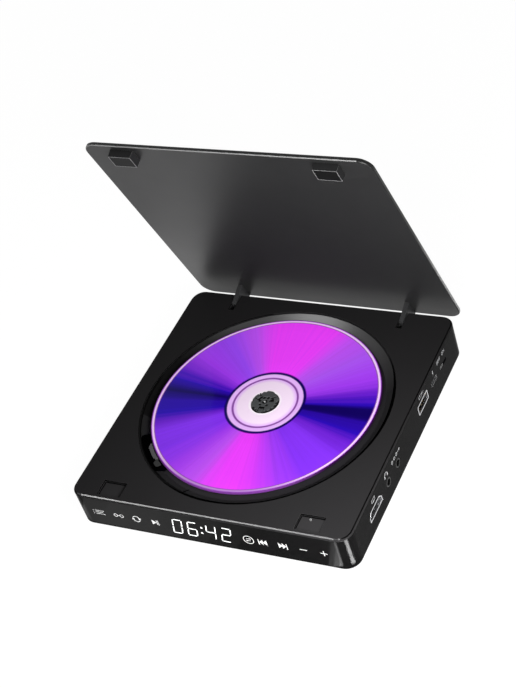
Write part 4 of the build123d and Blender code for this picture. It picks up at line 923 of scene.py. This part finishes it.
piece("front_signs", signs, white_print, "case")

# Lit digits of the display: a plain time of day
digits = bmesh.new()
WIDE, TALL, THICK, LEAN = 4.9, 10.0, 0.66, 0.2
DIGIT_FOOT, LEAN_FOOT, SEGMENT_GAP = 4.6, 4.4, 0.18
SEGMENTS = {
    "a": ((0, 1), (1, 1)), "b": ((1, 1), (1, 0.5)), "c": ((1, 0.5), (1, 0)),
    "d": ((0, 0), (1, 0)), "e": ((0, 0.5), (0, 0)), "f": ((0, 1), (0, 0.5)),
    "g": ((0, 0.5), (1, 0.5)),
}
SHAPES = {"0": "abcdef", "6": "acdefg", "4": "bcfg", "2": "abdeg"}


def segment(build, first, second):
    """One bar of a digit, with pointed ends."""
    p, q = Vector(first), Vector(second)
    along = (q - p).normalized()
    p, q = p + along * SEGMENT_GAP, q - along * SEGMENT_GAP
    side = Vector((-along.y, along.x)) * THICK / 2
    tip = along * THICK / 2
    outline = [p, p + tip + side, q - tip + side, q, q - tip - side, p + tip - side]
    plate(build, [(c.x + LEAN * (c.y - LEAN_FOOT), c.y) for c in reversed(outline)], FRONT)


for start_x, digit in ((-20.4, "0"), (-12.1, "6"), (-1.8, "4"), (6.6, "2")):
    for key in SHAPES[digit]:
        ends = [(start_x + fx * WIDE, DIGIT_FOOT + fy * TALL) for fx, fy in SEGMENTS[key]]
        segment(digits, *ends)
for v in (7.9, 11.9):
    lean = LEAN * (v - LEAN_FOOT)
    bar(digits, -4.9 + lean, -3.8 + lean, v - 0.55, v + 0.55, FRONT)
piece("display_digits", digits, display_light, "case")

# Signs beside the sockets
marks = bmesh.new()
outline = [(-47.0, 15.3), (-43.4, 15.3), (-43.4, 16.9), (-47.0, 16.9)]
stroke(marks, outline, 0.24, SIDE, closed=True)
bar(marks, -45.9, -44.5, 14.75, 14.98, SIDE)
stroke(marks, arc(-28.8, 14.9, 1.7, 0, 180), 0.4, SIDE)
bar(marks, -30.8, -29.9, 13.9, 15.2, SIDE)
bar(marks, -27.7, -26.8, 13.9, 15.2, SIDE)
for y in (-20.6, -17.8, -15.0):
    ring(marks, y, 15.0, 0.75, 0.35, SIDE, 20)
bar(marks, -13.6, -11.6, 14.85, 15.15, SIDE)
plate(marks, [(-11.8, 14.3), (-10.4, 15.0), (-11.8, 15.7)], SIDE)
outline = [(18.8, 17.6), (22.2, 17.6), (22.2, 19.0), (18.8, 19.0)]
stroke(marks, outline, 0.24, SIDE, closed=True)
bar(marks, 22.8, 24.4, 17.8, 18.05, SIDE)
bar(marks, 22.8, 24.4, 18.55, 18.8, SIDE)
bolt = [
    (37.9, 18.7), (37.2, 16.9), (37.8, 16.9), (37.5, 15.4), (38.5, 17.4), (37.95, 17.4),
    (38.5, 18.7),
]
plate(marks, bolt, SIDE)
LETTERS = {
    "O": [[
        (0.35, 0), (1.0, 0), (1.3, 0.4), (1.3, 1.2), (1.0, 1.6), (0.35, 1.6), (0.05, 1.2),
        (0.05, 0.4), (0.35, 0),
    ]],
    "F": [[(0, 0), (0, 1.6), (1.2, 1.6)], [(0, 0.85), (1.0, 0.85)]],
    "N": [[(0, 0), (0, 1.6), (1.3, 0), (1.3, 1.6)]],
}
for y, letter in zip((44.0, 45.95, 47.7, 51.1, 53.1), "OFFON"):
    for line in LETTERS[letter]:
        stroke(marks, [(y + u, 16.6 + v) for u, v in line], 0.34, SIDE)
piece("side_signs", marks, grey_print, "case")

# Rims of the two jacks
rims = bmesh.new()
rim_profile = [
    (1.84, -0.6), (1.84, -0.1), (1.98, -0.02), (2.3, -0.02), (2.45, -0.1), (2.45, -0.2),
    (2.0, -0.6),
]
for y in JACK_Y:
    place = Matrix.Translation((SIDE_X, y, JACK_Z)) @ Matrix.Rotation(pi / 2, 4, "Y")
    lathe(rims, rim_profile, 48, place)
piece("jack_rims", rims, rim_black, "case")


def arc_plate(build, r0, r1, a0, a1, low, high, taper=0.0, steps=24):
    """A raised plate between two radii and two angles, its ends drawn in by the taper."""
    rings = []
    for k in range(steps + 1):
        part = k / steps
        a = radians(a0 + (a1 - a0) * part)
        ease = min(1.0, min(part, 1 - part) / 0.18) if taper else 1.0
        outer = r1 - taper * (1 - ease)
        section = (
            (r0, low), (r0, high - 0.08), (r0 + 0.08, high), (outer - 0.12, high),
            (outer, high - 0.12), (outer, low),
        )
        rings.append([
            build.verts.new((r * cos(a), DISC_Y + r * sin(a), z)) for r, z in section
        ])
    for ring_a, ring_b in zip(rings, rings[1:]):
        for k in range(6):
            m = (k + 1) % 6
            build.faces.new((ring_a[k], ring_a[m], ring_b[m], ring_b[k]))
    for ring_end in (rings[0], rings[-1]):
        build.faces.new(ring_end)


# Dark strip standing for the shadow in the gap round the front and right of the well: it lies on
# the ledge, follows the cone below it and narrows to both ends
gap_shadow = bmesh.new()
GAP_SHADOW_STEPS, GAP_SHADOW_START, GAP_SHADOW_SWEEP, GAP_SHADOW_TAPER = 96, -122, 160, 6
GAP_SHADOW_HIGH, GAP_SHADOW_LOW = 0.03, -0.05
sections = []
for k in range(GAP_SHADOW_STEPS + 1):
    a = radians(GAP_SHADOW_START + GAP_SHADOW_SWEEP * k / GAP_SHADOW_STEPS)
    to_end = GAP_SHADOW_TAPER * min(k, GAP_SHADOW_STEPS - k) / GAP_SHADOW_STEPS
    inner = GAP_SHADOW_OUTER - (GAP_SHADOW_OUTER - GAP_SHADOW_INNER) * max(0.1, min(1.0, to_end))
    knee = max(inner + 0.05, GAP_SHADOW_BREAK)
    fall = max(0.0, GAP_SHADOW_BREAK - inner) * CONE_FALL
    sections.append([
        gap_shadow.verts.new((r * cos(a), DISC_Y + r * sin(a), LEDGE + z))
        for r, z in (
            (GAP_SHADOW_OUTER, GAP_SHADOW_HIGH), (knee, GAP_SHADOW_HIGH), (inner, GAP_SHADOW_HIGH - fall),
            (inner, GAP_SHADOW_LOW - fall), (knee, GAP_SHADOW_LOW), (GAP_SHADOW_OUTER, GAP_SHADOW_LOW),
        )
    ])
for first, after in zip(sections, sections[1:]):
    for k in range(6):
        m = (k + 1) % 6
        gap_shadow.faces.new((first[k], first[m], after[m], after[k]))
for end in (sections[0], sections[-1]):
    gap_shadow.faces.new(end)
piece("well_gap_shadow", gap_shadow, shade_black, "case")

# Notch in the well: a black plate standing for the shade in its hole, a grey tab beside the disc
# and a small corner piece
shade_plate = bmesh.new()
arc_plate(shade_plate, 60.4, 65.5, -150.5, -125.8, 18.6, 19.4)
piece("notch_shade", shade_plate, shade_black, "case")
tab = bmesh.new()
arc_plate(tab, 60.45, 62.5, -143.0, -131.5, 19.0, 20.1, taper=1.3)
piece("notch_tab", tab, tab_grey, "case")
corner = bmesh.new()
arc_plate(corner, 60.8, 63.6, -131.4, -127.4, 19.0, 19.8, taper=1.2)
piece("notch_corner", corner, corner_grey, "case")

# Contacts under the tongue of the USB port, thinner at their front ends
pins = bmesh.new()
CONTACT_PITCH, CONTACT_HALF, CONTACT_DROP = 2.7, 0.55, 1.82
low = USB_TOP - CONTACT_DROP
for k in range(4):
    y0 = USB_Y + CONTACT_PITCH * (k - 1.5) - CONTACT_HALF
    y1 = y0 + 2 * CONTACT_HALF
    for x0, x1, z1 in ((64.6, 73.6, 0.06), (73.6, 74.3, 0.03)):
        block = [(x0, y0, low), (x1, y0, low), (x1, y1, low), (x0, y1, low)]
        base = [pins.verts.new(c) for c in block]
        cap = [pins.verts.new((c[0], c[1], c[2] - z1)) for c in block]
        pins.faces.new(cap)
        for m in range(4):
            n = (m + 1) % 4
            pins.faces.new((base[m], base[n], cap[n], cap[m]))
piece("usb_contacts", pins, gold, "case")

# ---------------------------------------------------------------- stage and light

AMBIENT = 0.1
FLOOR_GLOW, FLOOR_SHARE = 1.07, 0.92
FLOOR_LEVEL = -1.25


def seen_rays(tree):
    """1 for the rays that see or mirror the surroundings, 0 for the rays that light things."""
    path = add(tree, "ShaderNodeLightPath").outputs
    kinds = ("Is Camera Ray", "Is Glossy Ray", "Is Transmission Ray")
    return largest(tree, *(path[kind] for kind in kinds))


world = bpy.data.worlds.new("studio")
scene.world = world
world.use_nodes = True
tree = world.node_tree
tree.nodes.clear()
strength = math(tree, "MULTIPLY_ADD", seen_rays(tree), 1.0 - AMBIENT, AMBIENT)
sky = add(tree, "ShaderNodeBackground", {"Color": (1, 1, 1, 1), "Strength": strength})
out = add(tree, "ShaderNodeOutputWorld")
tree.links.new(sky.outputs[0], out.inputs[0])

floor_material = bpy.data.materials.new("floor_white")
floor_material.use_nodes = True
tree = floor_material.node_tree
tree.nodes.clear()
paint = add(tree, "ShaderNodeBsdfDiffuse", {"Color": (0.9, 0.9, 0.9, 1)}).outputs[0]
white = add(tree, "ShaderNodeEmission", {"Color": (1, 1, 1, 1), "Strength": FLOOR_GLOW}).outputs[0]
share = product(tree, seen_rays(tree), FLOOR_SHARE)
blend = add(tree, "ShaderNodeMixShader", {0: share, 1: paint, 2: white})
out = add(tree, "ShaderNodeOutputMaterial")
tree.links.new(blend.outputs[0], out.inputs[0])
floor = bmesh.new()
bmesh.ops.create_grid(floor, x_segments=4, y_segments=4, size=6.0)
mesh = bpy.data.meshes.new("floor")
floor.to_mesh(mesh)
floor.free()
mesh.materials.append(floor_material)
floor_object = bpy.data.objects.new("floor", mesh)
floor_object.location = (0, 0, FLOOR_LEVEL * MM)
scene.collection.objects.link(floor_object)


def softbox(name, place, target, wide, tall, power, along=(1, 0, 0)):
    """A rectangular lamp facing a point, its width along a direction; lengths in millimetres."""
    data = bpy.data.lights.new(name, "AREA")
    data.shape = "RECTANGLE"
    data.size, data.size_y = wide * MM, tall * MM
    data.energy = power
    lamp = bpy.data.objects.new(name, data)
    place = Vector(place)
    back = (place - Vector(target)).normalized()
    across = (Vector(along) - Vector(along).dot(back) * back).normalized()
    facing = Matrix((across, back.cross(across), back)).transposed().to_4x4()
    lamp.matrix_world = Matrix.Translation(place * MM) @ facing
    lamp.visible_camera = False
    scene.collection.objects.link(lamp)
    return lamp


def mirrored(normal, distance, about):
    """A place seen from a point in a flat face of the given normal."""
    normal = Vector(normal).normalized()
    sight = (Vector(about) - camera.matrix_world.translation / MM).normalized()
    return Vector(about) + (sight - 2 * sight.dot(normal) * normal) * distance


# The key, then two lamps that only glossy faces show: on the front edge and in the well
softbox("key", (140, -150, 150), (20, -20, 20), 110, 110, 0.95)
for name, place, about, wide, tall, power in (
    ("rim_strip", mirrored((0, -1, 1), 600, (0, -75, 20.4)), (0, -75, 20.4), 330, 16, 0.4),
    ("well_box", (-230.6, -98.0, 432.7), (0, 62, 19), 220, 90, 0.62),
):
    softbox(name, place, about, wide, tall, power).visible_diffuse = False

# Small lamps on the floor, seen in the glossy front wall, its right corner and the lid. Each
# row is a name, a place, a size, the direction of its width and a power
ACROSS, FROM_FRONT, FROM_CORNER = (1, 0, 0), (0.95, -0.31, 0), (0.55, 0.834, 0)
CARD_LEVEL, CARD_WIDTH = -0.9, 16
cards = [
    ("corner_band", 64.2, -87.8, 2.6, 22, FROM_FRONT, 0.008),
    ("corner_shade_1", 61.7, -87.0, 2.6, 22, FROM_FRONT, 0.003),
    ("corner_shade_2", 59.2, -86.2, 2.6, 22, FROM_FRONT, 0.0011),
    ("corner_near", 79.0, -76.0, 4.2, 5, FROM_CORNER, 0.0142),
    ("corner_middle", 83.9, -79.3, 6.2, 6, FROM_CORNER, 0.0251),
    ("corner_far", 90.3, -83.6, 8.5, 9, FROM_CORNER, 0.0493),
]
for step, power in enumerate((0.0036, 0.0044, 0.0042, 0.0038, 0.0022, 0.001)):
    x = -76.0 + CARD_WIDTH * step
    cards.append((f"front_card_{step + 1}", x, -87.0, CARD_WIDTH, 21, ACROSS, power))
cards.append(("lid_card", -109.0, 66.0, 42, 32, ACROSS, 0.0031))
for name, x, y, wide, tall, along, power in cards:
    lamp = softbox(name, (x, y, CARD_LEVEL), (x, y, 50), wide, tall, power, along)
    lamp.visible_diffuse = False
